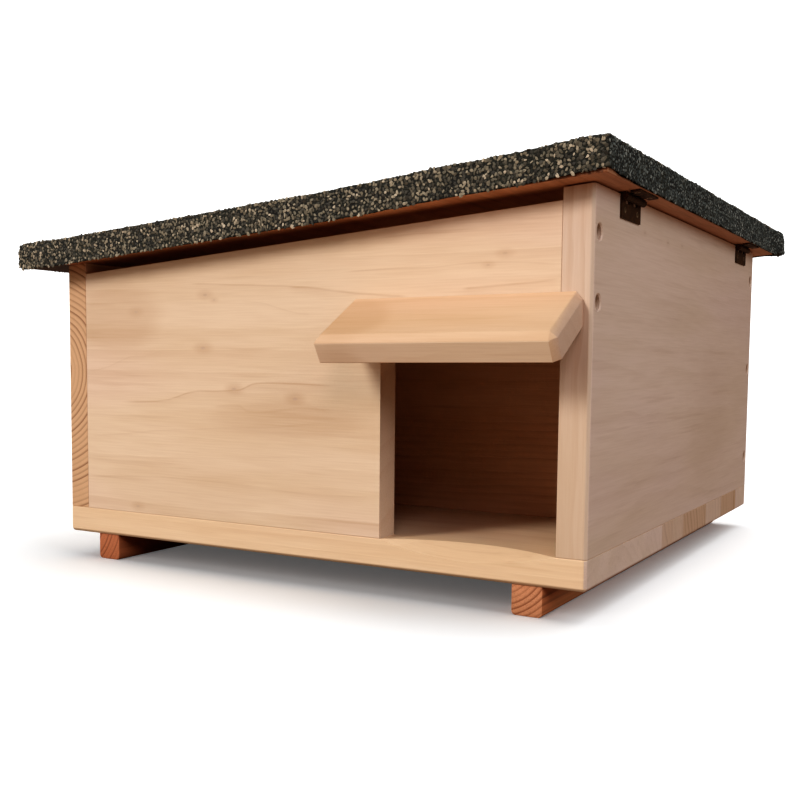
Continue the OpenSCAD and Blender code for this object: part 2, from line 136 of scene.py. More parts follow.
class Bench:
    """Bench work with operators, always on one piece that alone is selected."""

    @staticmethod
    def take(piece: bpy.types.Object) -> None:
        """Selects one piece alone and makes it active.

        Args:
            piece: The piece.
        """
        bpy.ops.object.select_all(action="DESELECT")
        piece.select_set(True)
        bpy.context.view_layer.objects.active = piece

    @staticmethod
    def name(name: str) -> bpy.types.Object:
        """Names the piece that was just added, and its mesh.

        Args:
            name: The new name.

        Returns:
            The piece.
        """
        piece = bpy.context.object
        piece.name = name
        piece.data.name = name
        return piece

    @staticmethod
    def settle(piece: bpy.types.Object) -> None:
        """Moves a piece's place, turn and size into its mesh."""
        Bench.take(piece)
        bpy.ops.object.transform_apply(location=True, rotation=True, scale=True)

    @staticmethod
    def block(name: str, low: Sequence[float], high: Sequence[float]) -> bpy.types.Object:
        """Adds a block between two corners.

        Args:
            name: The piece's name.
            low: Its lowest corner.
            high: Its highest corner.

        Returns:
            The new piece.
        """
        bpy.ops.object.select_all(action="DESELECT")
        middle = [(a + b) / 2 for a, b in zip(low, high)]
        bpy.ops.mesh.primitive_cube_add(size=1, location=middle)
        piece = Bench.name(name)
        piece.scale = [b - a for a, b in zip(low, high)]
        Bench.settle(piece)
        return piece

    @staticmethod
    def cone(
        name: str, start: Vector, towards: Vector, near: float, far: float, length: float, sides: int = 40
    ) -> bpy.types.Object:
        """Adds a round bar or a cone from a point along a direction.

        Args:
            name: The piece's name.
            start: The middle of its first end.
            towards: The direction that it points in.
            near: Its radius at the first end.
            far: Its radius at the other end.
            length: Its length.
            sides: How many flat sides it has.

        Returns:
            The new piece.
        """
        bpy.ops.object.select_all(action="DESELECT")
        turn = Vector(towards).to_track_quat("Z", "Y").to_euler()
        middle = Vector(start) + Vector(towards).normalized() * length / 2
        bpy.ops.mesh.primitive_cone_add(
            vertices=sides, radius1=near, radius2=far, depth=length, location=middle, rotation=turn
        )
        piece = Bench.name(name)
        Bench.settle(piece)
        return piece

    @staticmethod
    def shape(
        piece: bpy.types.Object, part: Part, test: Callable[..., bool], action: Callable[[], object]
    ) -> None:
        """Runs an edit-mode operator on the parts of a piece that pass a test.

        Args:
            piece: The piece to shape.
            part: Whether corners, edges or faces are tested.
            test: Says for each of them whether it is worked on.
            action: The operator to run.
        """
        Bench.take(piece)
        bpy.ops.object.mode_set(mode="EDIT")
        bpy.ops.mesh.select_mode(type=part.value)
        bpy.ops.mesh.select_all(action="DESELECT")
        mesh = bmesh.from_edit_mesh(piece.data)
        parts = {Part.CORNER: mesh.verts, Part.EDGE: mesh.edges, Part.FACE: mesh.faces}[part]
        for item in parts:
            if test(item):
                item.select_set(True)
        mesh.select_flush_mode()
        bmesh.update_edit_mesh(piece.data)
        action()
        bpy.ops.object.mode_set(mode="OBJECT")

    @staticmethod
    def move(piece: bpy.types.Object, test: Callable[..., bool], step: Sequence[float]) -> None:
        """Moves the corners of a piece that pass a test."""
        Bench.shape(piece, Part.CORNER, test, lambda: bpy.ops.transform.translate(value=step))

    @staticmethod
    def round_edges(
        piece: bpy.types.Object, test: Callable[..., bool], width: float, segments: int = 3
    ) -> None:
        """Rounds the edges of a piece that pass a test.

        Args:
            piece: The piece.
            test: Says for each edge whether it is rounded.
            width: How far the rounding reaches from the edge.
            segments: How many steps it has. One makes a chamfer.
        """
        Bench.shape(
            piece,
            Part.EDGE,
            test,
            lambda: bpy.ops.mesh.bevel(offset=width, offset_type="OFFSET", segments=segments, affect="EDGES"),
        )

    @staticmethod
    def modify(piece: bpy.types.Object, kind: str, **settings: object) -> None:
        """Adds a modifier with its settings and applies it.

        Args:
            piece: The piece.
            kind: The modifier's type.
            **settings: The modifier's settings.
        """
        Bench.take(piece)
        modifier = piece.modifiers.new(kind.lower(), kind)
        for key, value in settings.items():
            setattr(modifier, key, value)
        bpy.ops.object.modifier_apply(modifier=modifier.name)

    @staticmethod
    def soften(piece: bpy.types.Object, width: float, angle: float = 30) -> None:
        """Takes the sharpness off every edge of a piece.

        Args:
            piece: The piece.
            width: How wide the softened edges are.
            angle: The least angle between two faces, in degrees, at which their edge counts as sharp.
        """
        Bench.modify(
            piece, "BEVEL", width=width, segments=2, limit_method="ANGLE", angle_limit=math.radians(angle)
        )

    @staticmethod
    def join(pieces: Sequence[bpy.types.Object]) -> bpy.types.Object:
        """Makes several pieces one, under the first one's name.

        Args:
            pieces: The pieces, at least one.

        Returns:
            The one piece.
        """
        Bench.take(pieces[0])
        for piece in pieces:
            piece.select_set(True)
        if len(pieces) > 1:
            bpy.ops.object.join()
        return pieces[0]

    @staticmethod
    def cut(piece: bpy.types.Object, tools: Sequence[bpy.types.Object]) -> None:
        """Cuts a piece with tools that don't touch each other, and clears them away.

        Args:
            piece: The piece that is cut.
            tools: The tools, which are gone afterwards.
        """
        tool = Bench.join(tools)
        Bench.modify(piece, "BOOLEAN", operation="DIFFERENCE", solver="EXACT", object=tool)
        bpy.data.meshes.remove(tool.data)

    @staticmethod
    def smooth(piece: bpy.types.Object, angle: float = 40) -> None:
        """Shades a piece smoothly, except over its sharp edges."""
        Bench.take(piece)
        bpy.ops.object.shade_smooth_by_angle(angle=math.radians(angle))

    @staticmethod
    def copy(piece: bpy.types.Object, name: str) -> bpy.types.Object:
        """Copies a piece with its own mesh, under a new name.

        Args:
            piece: The piece.
            name: The copy's name.

        Returns:
            The copy.
        """
        Bench.take(piece)
        bpy.ops.object.duplicate(linked=False)
        return Bench.name(name)


def edge_middle(edge: bmesh.types.BMEdge) -> Vector:
    """The middle of an edge."""
    return (edge.verts[0].co + edge.verts[1].co) / 2


def edge_runs(edge: bmesh.types.BMEdge, axis: Axis, least: float = 0.9) -> bool:
    """Whether an edge runs along an axis."""
    run = (edge.verts[1].co - edge.verts[0].co).normalized()
    return abs(run[axis.value]) > least


def near(value: float, target: float, slack: float = 0.2 * MM) -> bool:
    """Whether a value is at a target, within a slack."""
    return abs(value - target) < slack


def direction(azimuth: float, height: float) -> Vector:
    """The direction at an angle from the front towards the right and at an angle from the floor up."""
    level = math.cos(height)
    return Vector((math.sin(azimuth) * level, -math.cos(azimuth) * level, math.sin(height)))


class Socket:
    """A shader value that Python expressions turn into Math nodes."""

    def __init__(self, kit: "NodeKit", link: object) -> None:
        """Wraps a node's output, or a plain number."""
        self.kit = kit
        self.link = link

    def __add__(self, other: object) -> "Socket":
        """Adds a value."""
        return self.kit.maths("ADD", self, other)

    __radd__ = __add__

    def __sub__(self, other: object) -> "Socket":
        """Takes a value away."""
        return self.kit.maths("SUBTRACT", self, other)

    def __rsub__(self, other: object) -> "Socket":
        """Is taken away from a value."""
        return self.kit.maths("SUBTRACT", other, self)

    def __mul__(self, other: object) -> "Socket":
        """Multiplies by a value."""
        return self.kit.maths("MULTIPLY", self, other)

    __rmul__ = __mul__

    def __truediv__(self, other: object) -> "Socket":
        """Divides by a value."""
        return self.kit.maths("DIVIDE", self, other)

    def __pow__(self, other: object) -> "Socket":
        """Raises to a power."""
        return self.kit.maths("POWER", self, other)

    def __abs__(self) -> "Socket":
        """Drops the sign."""
        return self.kit.maths("ABSOLUTE", self)


class NodeTree:
    """A node tree, whose nodes all come from one method."""

    def __init__(self, tree: bpy.types.NodeTree, family: str = "ShaderNode") -> None:
        """Takes a tree, and what the types of its nodes start with."""
        self.tree = tree
        self.family = family

    def node(
        self, kind: str, settings: dict[str, object] | None = None, values: dict[object, object] | None = None
    ) -> bpy.types.Node:
        """Adds a node.

        Args:
            kind: The node's type without its family's start.
            settings: The node's own settings, or a ramp's stops, which are set first.
            values: What goes into its sockets, by name or index.

        Returns:
            The new node.
        """
        node = self.tree.nodes.new(self.family + kind)
        for key, value in (settings or {}).items():
            if key == "stops":
                self.set_stops(node, value)
            else:
                setattr(node, key, value)
        for key, value in (values or {}).items():
            self.feed(node.inputs[key], value)
        return node

    def set_stops(self, node: bpy.types.Node, stops: Sequence[tuple[float, Colour]]) -> None:
        """Sets a ramp's stops from places and colours.

        Args:
            node: The ramp.
            stops: The place and the colour of each stop.
        """
        elements = node.color_ramp.elements
        while len(elements) < len(stops):
            elements.new(1.0)
        for element, (place, colour) in zip(elements, stops):
            element.position = place
            element.color = colour

    def feed(self, target: bpy.types.NodeSocket, value: object) -> None:
        """Links a socket to a value, or sets the value on it.

        Args:
            target: The socket.
            value: A plain value, a node's output or a shader value.
        """
        source = value.link if isinstance(value, Socket) else value
        if isinstance(source, bpy.types.NodeSocket):
            self.tree.links.new(source, target)
        else:
            target.default_value = source


class NodeKit(NodeTree):
    """Builds one material's nodes."""

    def __init__(self, name: str) -> None:
        """Starts a material with a shader and nothing linked to it.

        Args:
            name: The material's name.
        """
        self.material = bpy.data.materials.new(name)
        self.material.use_nodes = True
        super().__init__(self.material.node_tree)
        self.shader = self.tree.nodes["Principled BSDF"]

    def read(self, node: bpy.types.Node, output: object = 0) -> Socket:
        """Wraps a node's output."""
        return Socket(self, node.outputs[output])

    def maths(self, operation: str, *values: object) -> Socket:
        """Adds a Math node on one or more values."""
        return self.read(self.node("Math", {"operation": operation}, dict(enumerate(values))))

    def place(self, output: str = "Object") -> Socket:
        """The surface point, or another output of the texture coordinates."""
        return self.read(self.node("TexCoord"), output)

    def split(self, vector: Socket) -> tuple[Socket, Socket, Socket]:
        """Takes a vector apart."""
        node = self.node("SeparateXYZ", values={0: vector})
        return tuple(self.read(node, index) for index in range(3))

    def vector(self, x: object, y: object, z: object) -> Socket:
        """Puts a vector together."""
        return self.read(self.node("CombineXYZ", values={0: x, 1: y, 2: z}))

    def noise(self, vector: Socket, scale: float = 1.0, detail: float = 2.0) -> Socket:
        """Adds a noise texture."""
        values = {"Vector": vector, "Scale": scale, "Detail": detail}
        return self.read(self.node("TexNoise", values=values), "Fac")

    def cells(self, vector: Socket, scale: float, output: str = "Distance") -> Socket:
        """Adds a cell texture."""
        return self.read(self.node("TexVoronoi", values={"Vector": vector, "Scale": scale}), output)

    def chance(self, value: Socket) -> Socket:
        """Adds a random value for each number."""
        return self.read(self.node("TexWhiteNoise", {"noise_dimensions": "1D"}, {"W": value}), "Value")

    def ease(self, value: Socket, start: float, end: float) -> Socket:
        """Rises smoothly from 0 at one value to 1 at another, or falls where the start is the larger.

        Args:
            value: The value.
            start: Where the result is 0.
            end: Where the result is 1.

        Returns:
            The result, from 0 to 1.
        """
        low, high = sorted((start, end))
        rise = self.read(
            self.node("MapRange", {"interpolation_type": "SMOOTHSTEP"}, {0: value, 1: low, 2: high})
        )
        return rise if start < end else 1 - rise

    def blend(self, factor: object, first: object, second: object) -> Socket:
        """Mixes two colours."""
        return self.read(self.node("Mix", {"data_type": "RGBA"}, {0: factor, 6: first, 7: second}), 2)

    def ramp(self, factor: Socket, stops: Sequence[tuple[float, Colour]], blend: str = "LINEAR") -> Socket:
        """Turns a value into a colour by a ramp.

        Args:
            factor: The value.
            stops: The place and the colour of each stop.
            blend: How the colour runs from one stop to the next.

        Returns:
            The colour.
        """
        node = self.node("ValToRGB", {"stops": stops}, {0: factor})
        node.color_ramp.interpolation = blend
        return self.read(node)

    def finish(self, colour: Socket, roughness: object, relief: Socket, depth: float) -> None:
        """Feeds the shader.

        Args:
            colour: The base colour.
            roughness: The roughness.
            relief: The height of the surface, from 0 to 1.
            depth: How much height 1 stands above height 0.
        """
        bump = self.read(self.node("Bump", values={"Strength": 1.0, "Distance": depth, "Height": relief}))
        for name, value in (("Base Color", colour), ("Roughness", roughness), ("Normal", bump)):
            self.feed(self.shader.inputs[name], value)

    def cover(self, piece: bpy.types.Object) -> None:
        """Makes this the piece's only material."""
        piece.data.materials.clear()
        piece.data.materials.append(self.material)


def hypot(first: Socket, second: Socket) -> Socket:
    """The length of the side across from a right angle."""
    return (first * first + second * second) ** 0.5


@dataclass(frozen=True)
class Face:
    """A board's best face, while its material is being built."""

    kit: NodeKit
    timber: "Timber"
    along: Socket
    across: Socket
    cloud: Socket
    streaks: Socket


@dataclass(frozen=True)
class Mark:
    """A mark on a board's best face, by its place along and across the grain in millimetres."""

    along: float
    across: float

    def reach(self, face: Face, long: float = 1.0, wide: float = 1.0) -> Socket:
        """The distance from the mark, in shares of a length along the grain and of a width across it."""
        aside, above = face.along - self.along * MM, face.across - self.across * MM
        return hypot(aside * (1 / long), above * (1 / wide))


@dataclass(frozen=True)
class Knot(Mark):
    """A pin knot with its halo."""

    size: float = 1.3
    depth: float = 0.8

    def draw(self, face: Face, colour: Socket) -> Socket:
        """Draws the knot.

        Args:
            face: The face that it is on.
            colour: The face's colour so far.

        Returns:
            The colour with the knot.
        """
        kit, reach = face.kit, self.reach(face, long=2.0)
        heart = kit.ease(reach, self.size * MM, self.size * 0.3 * MM)
        halo = kit.ease(reach, self.size * 4 * MM, self.size * 0.8 * MM)
        colour = kit.blend(halo * 0.3 * self.depth, colour, face.timber.late)
        return kit.blend(heart * self.depth, colour, face.timber.end_late)


@dataclass(frozen=True)
class Bore(Mark):
    """The counterbore's bottom, darkened with painted shade."""

    size: float = 4.95
    depth: float = 0.9

    def draw(self, face: Face, colour: Socket) -> Socket:
        """Paints shade on the counterbore's bottom."""
        inside = face.kit.ease(self.reach(face), self.size * MM, (self.size - 0.35) * MM)
        return face.kit.blend(inside * self.depth, colour, face.timber.bore_shade)


@dataclass(frozen=True)
class Patch(Mark):
    """A darker place with a frayed border, or a paler one where its depth is below zero."""

    long: float
    wide: float
    depth: float = 0.6
    fade: float = 0.25

    def draw(self, face: Face, colour: Socket) -> Socket:
        """Draws the patch.

        Args:
            face: The face that it is on.
            colour: The face's colour so far.

        Returns:
            The colour with the patch.
        """
        reach = self.reach(face, self.long * MM, self.wide * MM) + (face.cloud - 0.5) * 1.6
        inside = face.kit.ease(reach, 0.9 + self.fade, 0.9 - self.fade)
        tint = face.timber.late if self.depth > 0 else face.timber.pale
        return face.kit.blend(inside * abs(self.depth), colour, tint)


@dataclass(frozen=True)
class Vein:
    """A dark growth line that wanders over a face, by points along and across the grain in millimetres."""

    points: tuple[tuple[float, float], ...]
    width: float = 1.1
    depth: float = 0.3

    def draw(self, face: Face, colour: Socket) -> Socket:
        """Draws the line, sharp on its upper side and with a soft glow below.

        Args:
            face: The face that it is on.
            colour: The face's colour so far.

        Returns:
            The colour with the line.
        """
        kit = face.kit
        starts, heights = zip(*self.points)
        span, low = starts[-1] - starts[0], min(heights) - 1
        rise = max(heights) + 1 - low
        share = (face.along - starts[0] * MM) * (1 / (span * MM))
        stops = [
            ((start - starts[0]) / span, ((height - low) / rise,) * 3 + (1.0,))
            for start, height in self.points
        ]
        course = kit.split(kit.ramp(share, stops, "CARDINAL"))[0] * (rise * MM) + low * MM
        gap = face.across - course + (face.streaks - 0.5) * (1.4 * MM)
        core = kit.ease(abs(gap), self.width * MM, 0.0) * kit.ease(face.streaks, 0.3, 0.55)
        glow = kit.ease(gap, -self.width * 7 * MM, 0.0) * kit.ease(gap, self.width * 1.5 * MM, 0.0)
        fade = kit.ease(share, -0.02, 0.08) * kit.ease(share, 1.02, 0.92)
        return kit.blend((core + glow * 0.35) * fade * self.depth, colour, face.timber.late)


@dataclass(frozen=True)
class Stave:
    """One stave of an edge-glued board: where it starts across the grain, in millimetres, and its tone."""

    start: float
    tone: float


@dataclass(frozen=True)
class Cut:
    """How one board was sawn from its log, and what shows on its best face."""

    along: Axis
    pith: tuple[float, float]
    ring_gap: float = 9.0
    wander: float = 9.0
    lines: float = 0.35
    ends: float = 1.0
    face: Axis = Axis.Y
    marks: tuple[Knot | Bore | Patch | Vein, ...] = ()
    staves: tuple[Stave, ...] = ()
    # How much the chamfered upright arrises are paled: partly a sanded edge, partly a painted highlight.
    arris: float = 0.0
    seed: float = 0.0


@dataclass(frozen=True)
class Timber:
    """A timber finish, with its colours on long grain and on end grain."""

    name: str
    pale: Colour
    warm: Colour
    rosy: Colour
    late: Colour
    end_pale: Colour
    end_late: Colour
    roughness: float = 0.62
    # The colour of the painted shade at the bottoms of counterbores.
    bore_shade: Colour = srgb(84, 50, 30)

    def dress(
        self, piece: bpy.types.Object, cut: Cut, edge: Cut | None = None, rim: "Timber | None" = None
    ) -> None:
        """Gives a piece this timber, sawn as its cut says.

        Args:
            piece: The board.
            cut: Its grain, rings, marks and staves.
            edge: The cut that shows on the faces across its grain, if it isn't the same one.
            rim: The timber of those faces, if it isn't this one.
        """
        self.sawn(f"{self.name}.{piece.name}", cut).cover(piece)
        if edge is not None:
            piece.data.materials.append((rim or self).sawn(f"{self.name}.{piece.name}.edge", edge).material)
            for face in piece.data.polygons:
                face.material_index = int(abs(face.normal[cut.along.value]) > 0.7)

    def sawn(self, name: str, cut: Cut) -> NodeKit:
        """Builds the material of one cut.

        Args:
            name: The material's name.
            cut: The board's cut.
        """
        kit = NodeKit(name)
        axes = kit.split(kit.place())
        along = axes[cut.along.value]
        first, second = (axes[index] for index in cut.along.across())
        turns = self.rings_radius(kit, cut, along, first, second) / (cut.ring_gap * MM)
        ring, phase = kit.maths("FLOOR", turns), kit.maths("FRACT", turns)
        vigour = kit.chance(ring + cut.seed) * 0.75 + 0.25
        late = kit.ease(phase, 0.35, 0.9) * kit.ease(phase, 1.0, 0.93) * vigour
        bands = kit.noise(kit.vector(along * 5 + cut.seed, first * 46, second * 46), detail=3)
        patches = kit.noise(kit.vector(along * 4, first * 13 + cut.seed, second * 13), detail=1)
        fibres = kit.noise(kit.vector(along * 30, first * 900, second * 900), detail=3)
        streaks = kit.noise(kit.vector(along * 9, first * 240 + cut.seed, second * 240), detail=3)
        colour = kit.blend(kit.ease(bands, 0.34, 0.68), self.pale, self.warm)
        colour = kit.blend(kit.ease(patches, 0.45, 0.66) * 0.75, colour, self.rosy)
        drawn = late * kit.ease(patches, 0.34, 0.6) * cut.lines
        colour = kit.blend(drawn + kit.ease(streaks, 0.56, 0.76) * 0.2, colour, self.late)
        best = next(index for index in cut.along.across() if index != cut.face.value)
        face = Face(kit, self, along, axes[best], patches, streaks)
        for mark in cut.marks:
            colour = mark.draw(face, colour)
        colour, mask = self.end_grain(kit, cut, colour, late, bands, axes)
        # Pales the chamfered upright arrises, whose normals lie between X and Y: partly a sanded edge, partly
        # a painted highlight.
        if cut.arris:
            facing = kit.split(kit.place("Normal"))
            corner = kit.ease(abs(facing[0] * facing[1]), 0.25, 0.45) * cut.arris
            colour = kit.blend(corner, colour, self.pale)
        colour = kit.blend(kit.ease(fibres, 0.3, 0.75) * 0.12, colour, self.late)
        roughness = fibres * 0.16 + mask * 0.12 + (self.roughness - 0.08)
        kit.finish(colour, roughness, fibres * 0.7 + late * 0.3, 0.12 * MM)
        return kit

    def rings_radius(self, kit: NodeKit, cut: Cut, along: Socket, first: Socket, second: Socket) -> Socket:
        """The distance from the log's centre, with the drift and swells of a real log.

        Args:
            kit: The material being built.
            cut: The board's cut.
            along: The place along the grain.
            first: The place on the first axis across it.
            second: The place on the second axis across it.

        Returns:
            The distance in metres.
        """
        drift = kit.noise(kit.vector(along * 4 + cut.seed, first * 9, second * 9), detail=1)
        swell = kit.noise(kit.vector(along * 16, first * 40 + cut.seed, second * 40), detail=2)
        bend = (drift - 0.5) * (4 * cut.wander * MM) + (swell - 0.5) * (1.1 * cut.wander * MM)
        one = first - cut.pith[0] * MM + bend
        two = second - cut.pith[1] * MM + bend * 0.4
        return hypot(one, two)

    def end_grain(
        self, kit: NodeKit, cut: Cut, colour: Socket, late: Socket, bands: Socket, axes: Sequence[Socket]
    ) -> tuple[Socket, Socket]:
        """Turns the faces across the grain into end grain, stave by stave on an edge-glued board.

        Args:
            kit: The material being built.
            cut: The board's cut.
            colour: The long grain's colour.
            late: Where the dark part of each ring is.
            bands: The broad tone.
            axes: The three parts of the surface point.

        Returns:
            The colour of the whole board, and where the end grain is.
        """
        facing = abs(kit.split(kit.place("Normal"))[cut.along.value])
        mask = kit.ease(facing, 0.6, 0.8) * cut.ends
        speck = kit.noise(kit.vector(*axes), scale=1400, detail=2)
        end = kit.blend(late ** 1.3 * 0.95, self.end_pale, self.end_late)
        end = kit.blend(kit.ease(speck, 0.5, 0.75) * 0.3 + kit.ease(bands, 0.5, 0.8) * 0.15, end, self.late)
        if not cut.staves:
            return kit.blend(mask, colour, end), mask
        across = axes[cut.along.across()[0]]
        first, last = cut.staves[0].start * MM, cut.staves[-1].start * MM + LAST_STAVE
        stops = [
            ((stave.start * MM - first) / (last - first), (stave.tone, stave.tone, stave.tone, 1.0))
            for stave in cut.staves
        ]
        tone = kit.split(kit.ramp((across - first) * (1 / (last - first)), stops, "CONSTANT"))[0]
        joints = None
        for stave in cut.staves[1:]:
            line = kit.ease(abs(across - stave.start * MM), 0.9 * MM, 0.3 * MM)
            joints = line if joints is None else kit.maths("MAXIMUM", joints, line)
        colour = kit.blend(tone * 0.14, colour, self.late)
        colour = kit.blend(joints * (1 - mask) * 0.8, colour, self.pale)
        colour = kit.blend(mask * tone, colour, end)
        return kit.blend(joints * mask * tone * 0.6, colour, self.end_late), mask * tone


LIGHT = Timber(
    "light_board",
    pale=srgb(232, 205, 178), warm=srgb(226, 196, 165), rosy=srgb(230, 200, 177),
    late=srgb(184, 142, 104), end_pale=srgb(214, 174, 137), end_late=srgb(144, 98, 62),
)
QUIET = replace(
    LIGHT,
    pale=srgb(229, 203, 175), warm=srgb(222, 194, 163), rosy=srgb(227, 198, 175),
    end_pale=srgb(208, 180, 155), end_late=srgb(204, 174, 149),
)
SHADED = replace(
    LIGHT, pale=srgb(219, 195, 172), warm=srgb(212, 187, 162), rosy=srgb(216, 190, 171)
)
ROSE = replace(
    LIGHT,
    pale=srgb(229, 203, 184), warm=srgb(222, 196, 174), rosy=srgb(225, 198, 183),
    late=srgb(178, 144, 116), end_pale=srgb(204, 166, 132), end_late=srgb(176, 132, 96),
)
# The partition's timber: a redder, more orange copy of the light board, its tones matched to the partition in
# the shade inside the house, so painted warm shade.
DUSKY = replace(
    LIGHT,
    pale=srgb(234, 187, 149), warm=srgb(226, 176, 134), rosy=srgb(230, 179, 142), late=srgb(168, 110, 74),
)
HONEY = Timber(
    "honey_board",
    pale=srgb(234, 204, 170), warm=srgb(229, 196, 160), rosy=srgb(228, 196, 166),
    late=srgb(192, 148, 106), end_pale=srgb(198, 158, 126), end_late=srgb(140, 98, 68),
)
PORCH = replace(
    HONEY,
    pale=srgb(224, 190, 157), warm=srgb(219, 183, 147), rosy=srgb(219, 182, 151),
    end_pale=srgb(210, 178, 154), end_late=srgb(204, 171, 147),
)
# A paler copy of the porch's timber for its down-facing front face: painted light, in place of the light that
# the floor throws up on it.
PORCH_FRONT_PAINTED_LIGHT = replace(
    PORCH, pale=srgb(240, 214, 186), warm=srgb(236, 208, 178), rosy=srgb(235, 207, 182)
)
REDDISH = Timber(
    "reddish_batten",
    pale=srgb(208, 136, 90), warm=srgb(184, 108, 64), rosy=srgb(194, 118, 76),
    late=srgb(104, 56, 32), end_pale=srgb(206, 144, 104), end_late=srgb(146, 86, 50),
)
RUSSET = replace(
    REDDISH,
    pale=srgb(184, 114, 72), warm=srgb(160, 90, 52), rosy=srgb(170, 100, 62),
    end_pale=srgb(188, 116, 76), end_late=srgb(130, 70, 36),
)
# Its late colour is made very dark, because it also gives the painted shade under the roof's left overhang.
BROWN = Timber(
    "brown_board",
    pale=srgb(204, 150, 114), warm=srgb(188, 132, 96), rosy=srgb(196, 140, 104),
    late=srgb(60, 36, 23), end_pale=srgb(150, 96, 62), end_late=srgb(92, 52, 30),
)


@dataclass(frozen=True)
class Metal:
    """A metal finish with tarnish."""

    name: str
    bright: Colour
    dull: Colour
    metallic: float
    roughness: float
    sheen: float = 0.5
    grain: float = 900.0

    def dress(self, piece: bpy.types.Object) -> None:
        """Gives a piece this metal.

        Args:
            piece: The piece.
        """
        kit = NodeKit(f"{self.name}.{piece.name}")
        place = kit.place()
        cloud = kit.noise(place, scale=self.grain * 0.3, detail=3)
        fleck = kit.noise(place, scale=self.grain, detail=2)
        # Where the bright colour shows: worn tarnish, and on the hinge screws a painted glint.
        wear_and_glint = kit.ease(cloud * 0.7 + fleck * 0.3, 0.42, 0.66)
        colour = kit.blend(wear_and_glint, self.dull, self.bright)
        kit.finish(colour, fleck * 0.25 + (self.roughness - 0.1), cloud * 0.5 + fleck * 0.5, 0.03 * MM)
        kit.feed(kit.shader.inputs["Metallic"], wear_and_glint * 0.3 + (self.metallic - 0.2))
        kit.shader.inputs["Specular IOR Level"].default_value = self.sheen
        kit.cover(piece)


BRONZE = Metal("dark_bronze", srgb(92, 62, 40), srgb(64, 42, 26), 0.25, 0.62, 0.2)
# The hinge screws' bronze: much paler and more metallic, its pale colour a painted glint on the screw heads.
GLINT_PAINTED_BRONZE = replace(
    BRONZE, bright=srgb(190, 164, 132), dull=srgb(110, 84, 60), metallic=0.7, roughness=0.45
)
ZINC = Metal("zinc_screw", srgb(196, 186, 160), srgb(120, 112, 96), 0.9, 0.35)


@dataclass(frozen=True)
class Bitumen:
    """The felt's black base, with fine grit pressed into it."""

    name: str = "gritted_felt"
    black: Colour = srgb(27, 25, 19)
    green: Colour = srgb(45, 44, 33)
    grit: Colour = srgb(82, 80, 68)
    grain: float = 900.0

    def dress(self, piece: bpy.types.Object) -> None:
        """Gives a piece the felt's base.

        Args:
            piece: The piece.
        """
        kit = NodeKit(f"{self.name}.{piece.name}")
        place = kit.place()
        crumb = kit.ease(kit.cells(place, self.grain), 0.75, 0.25)
        pick = kit.split(kit.cells(place, self.grain, "Color"))[0]
        cloud = kit.noise(place, scale=60, detail=3)
        colour = kit.blend(kit.ease(cloud, 0.35, 0.65), self.black, self.green)
        colour = kit.blend(crumb * kit.ease(pick, 0.45, 0.95) * 0.8, colour, self.grit)
        kit.finish(colour, cloud * 0.2 + 0.72, crumb, 0.35 * MM)
        kit.cover(piece)


@dataclass(frozen=True)
class Chippings:
    """The stone chippings' colours, picked for each stone by its tone."""

    name: str
    stops: tuple[tuple[float, Colour], ...]

    def dress(self, piece: bpy.types.Object) -> None:
        """Gives a piece the stones' colours.

        Args:
            piece: The strewn stones.
        """
        kit = NodeKit(f"{self.name}.{piece.name}")
        tone = kit.read(kit.node("Attribute", {"attribute_name": "tone"}), "Fac")
        cloud = kit.noise(kit.place(), scale=1500, detail=2)
        colour = kit.ramp(tone, self.stops)
        colour = kit.blend(kit.ease(cloud, 0.4, 0.7) * 0.35, colour, self.stops[0][1])
        kit.finish(colour, cloud * 0.2 + 0.6, cloud, 0.15 * MM)
        kit.cover(piece)


WARM_STONES = Chippings(
    "warm_chippings",
    (
        (0.0, srgb(52, 47, 39)),
        (0.25, srgb(83, 76, 63)),
        (0.6, srgb(122, 112, 93)),
        (0.9, srgb(167, 153, 130)),
        (1.0, srgb(208, 191, 167)),
    ),
)
# A cooler and less bright copy of the stones, strewn on the roof's right side: painted shade.
SHADE_PAINTED_STONES = Chippings(
    "cool_chippings",
    (
        (0.0, srgb(54, 58, 55)),
        (0.4, srgb(88, 93, 88)),
        (0.8, srgb(128, 132, 125)),
        (1.0, srgb(172, 172, 162)),
    ),
)


def ride(piece: bpy.types.Object, body: Body, slot: Slot, *nodes: str) -> None:
    """Puts a finished piece on its body, in place of its nodes.

    Args:
        piece: The finished piece.
        body: The body that it moves with.
        slot: Not used.
        *nodes: The nodes that it stands for.
    """
    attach(piece, body.value)
    if nodes:
        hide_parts(*nodes)
    LOG.info("%s: %d faces on %s", piece.name, len(piece.data.polygons), body.value)


def spots(node: str, axis: Axis, head_high: bool = False, apart: float = 10 * MM) -> list[Vector]:
    """Finds the head of each screw in a node.

    Args:
        node: A node of separate screws that all point along one axis.
        axis: That axis.
        head_high: Whether the heads are at the axis's high end.
        apart: A distance smaller than that between two screws.

    Returns:
        The middle of each head's outer face.
    """

    def flat(place: Vector) -> Vector:
        """A place as seen along the axis."""
        return Vector([0 if index == axis.value else part for index, part in enumerate(place)])

    groups: list[list[Vector]] = []
    for corner in frame["nodes"][node].data.vertices:
        place = corner.co.copy()
        mine = next((group for group in groups if (flat(group[0]) - flat(place)).length < apart), None)
        if mine is None:
            groups.append([place])
        else:
            mine.append(place)
    heads = []
    for group in groups:
        low, high = (Vector([pick(parts) for parts in zip(*group)]) for pick in (min, max))
        head = (low + high) / 2
        head[axis.value] = (high if head_high else low)[axis.value]
        heads.append(head)
    return heads


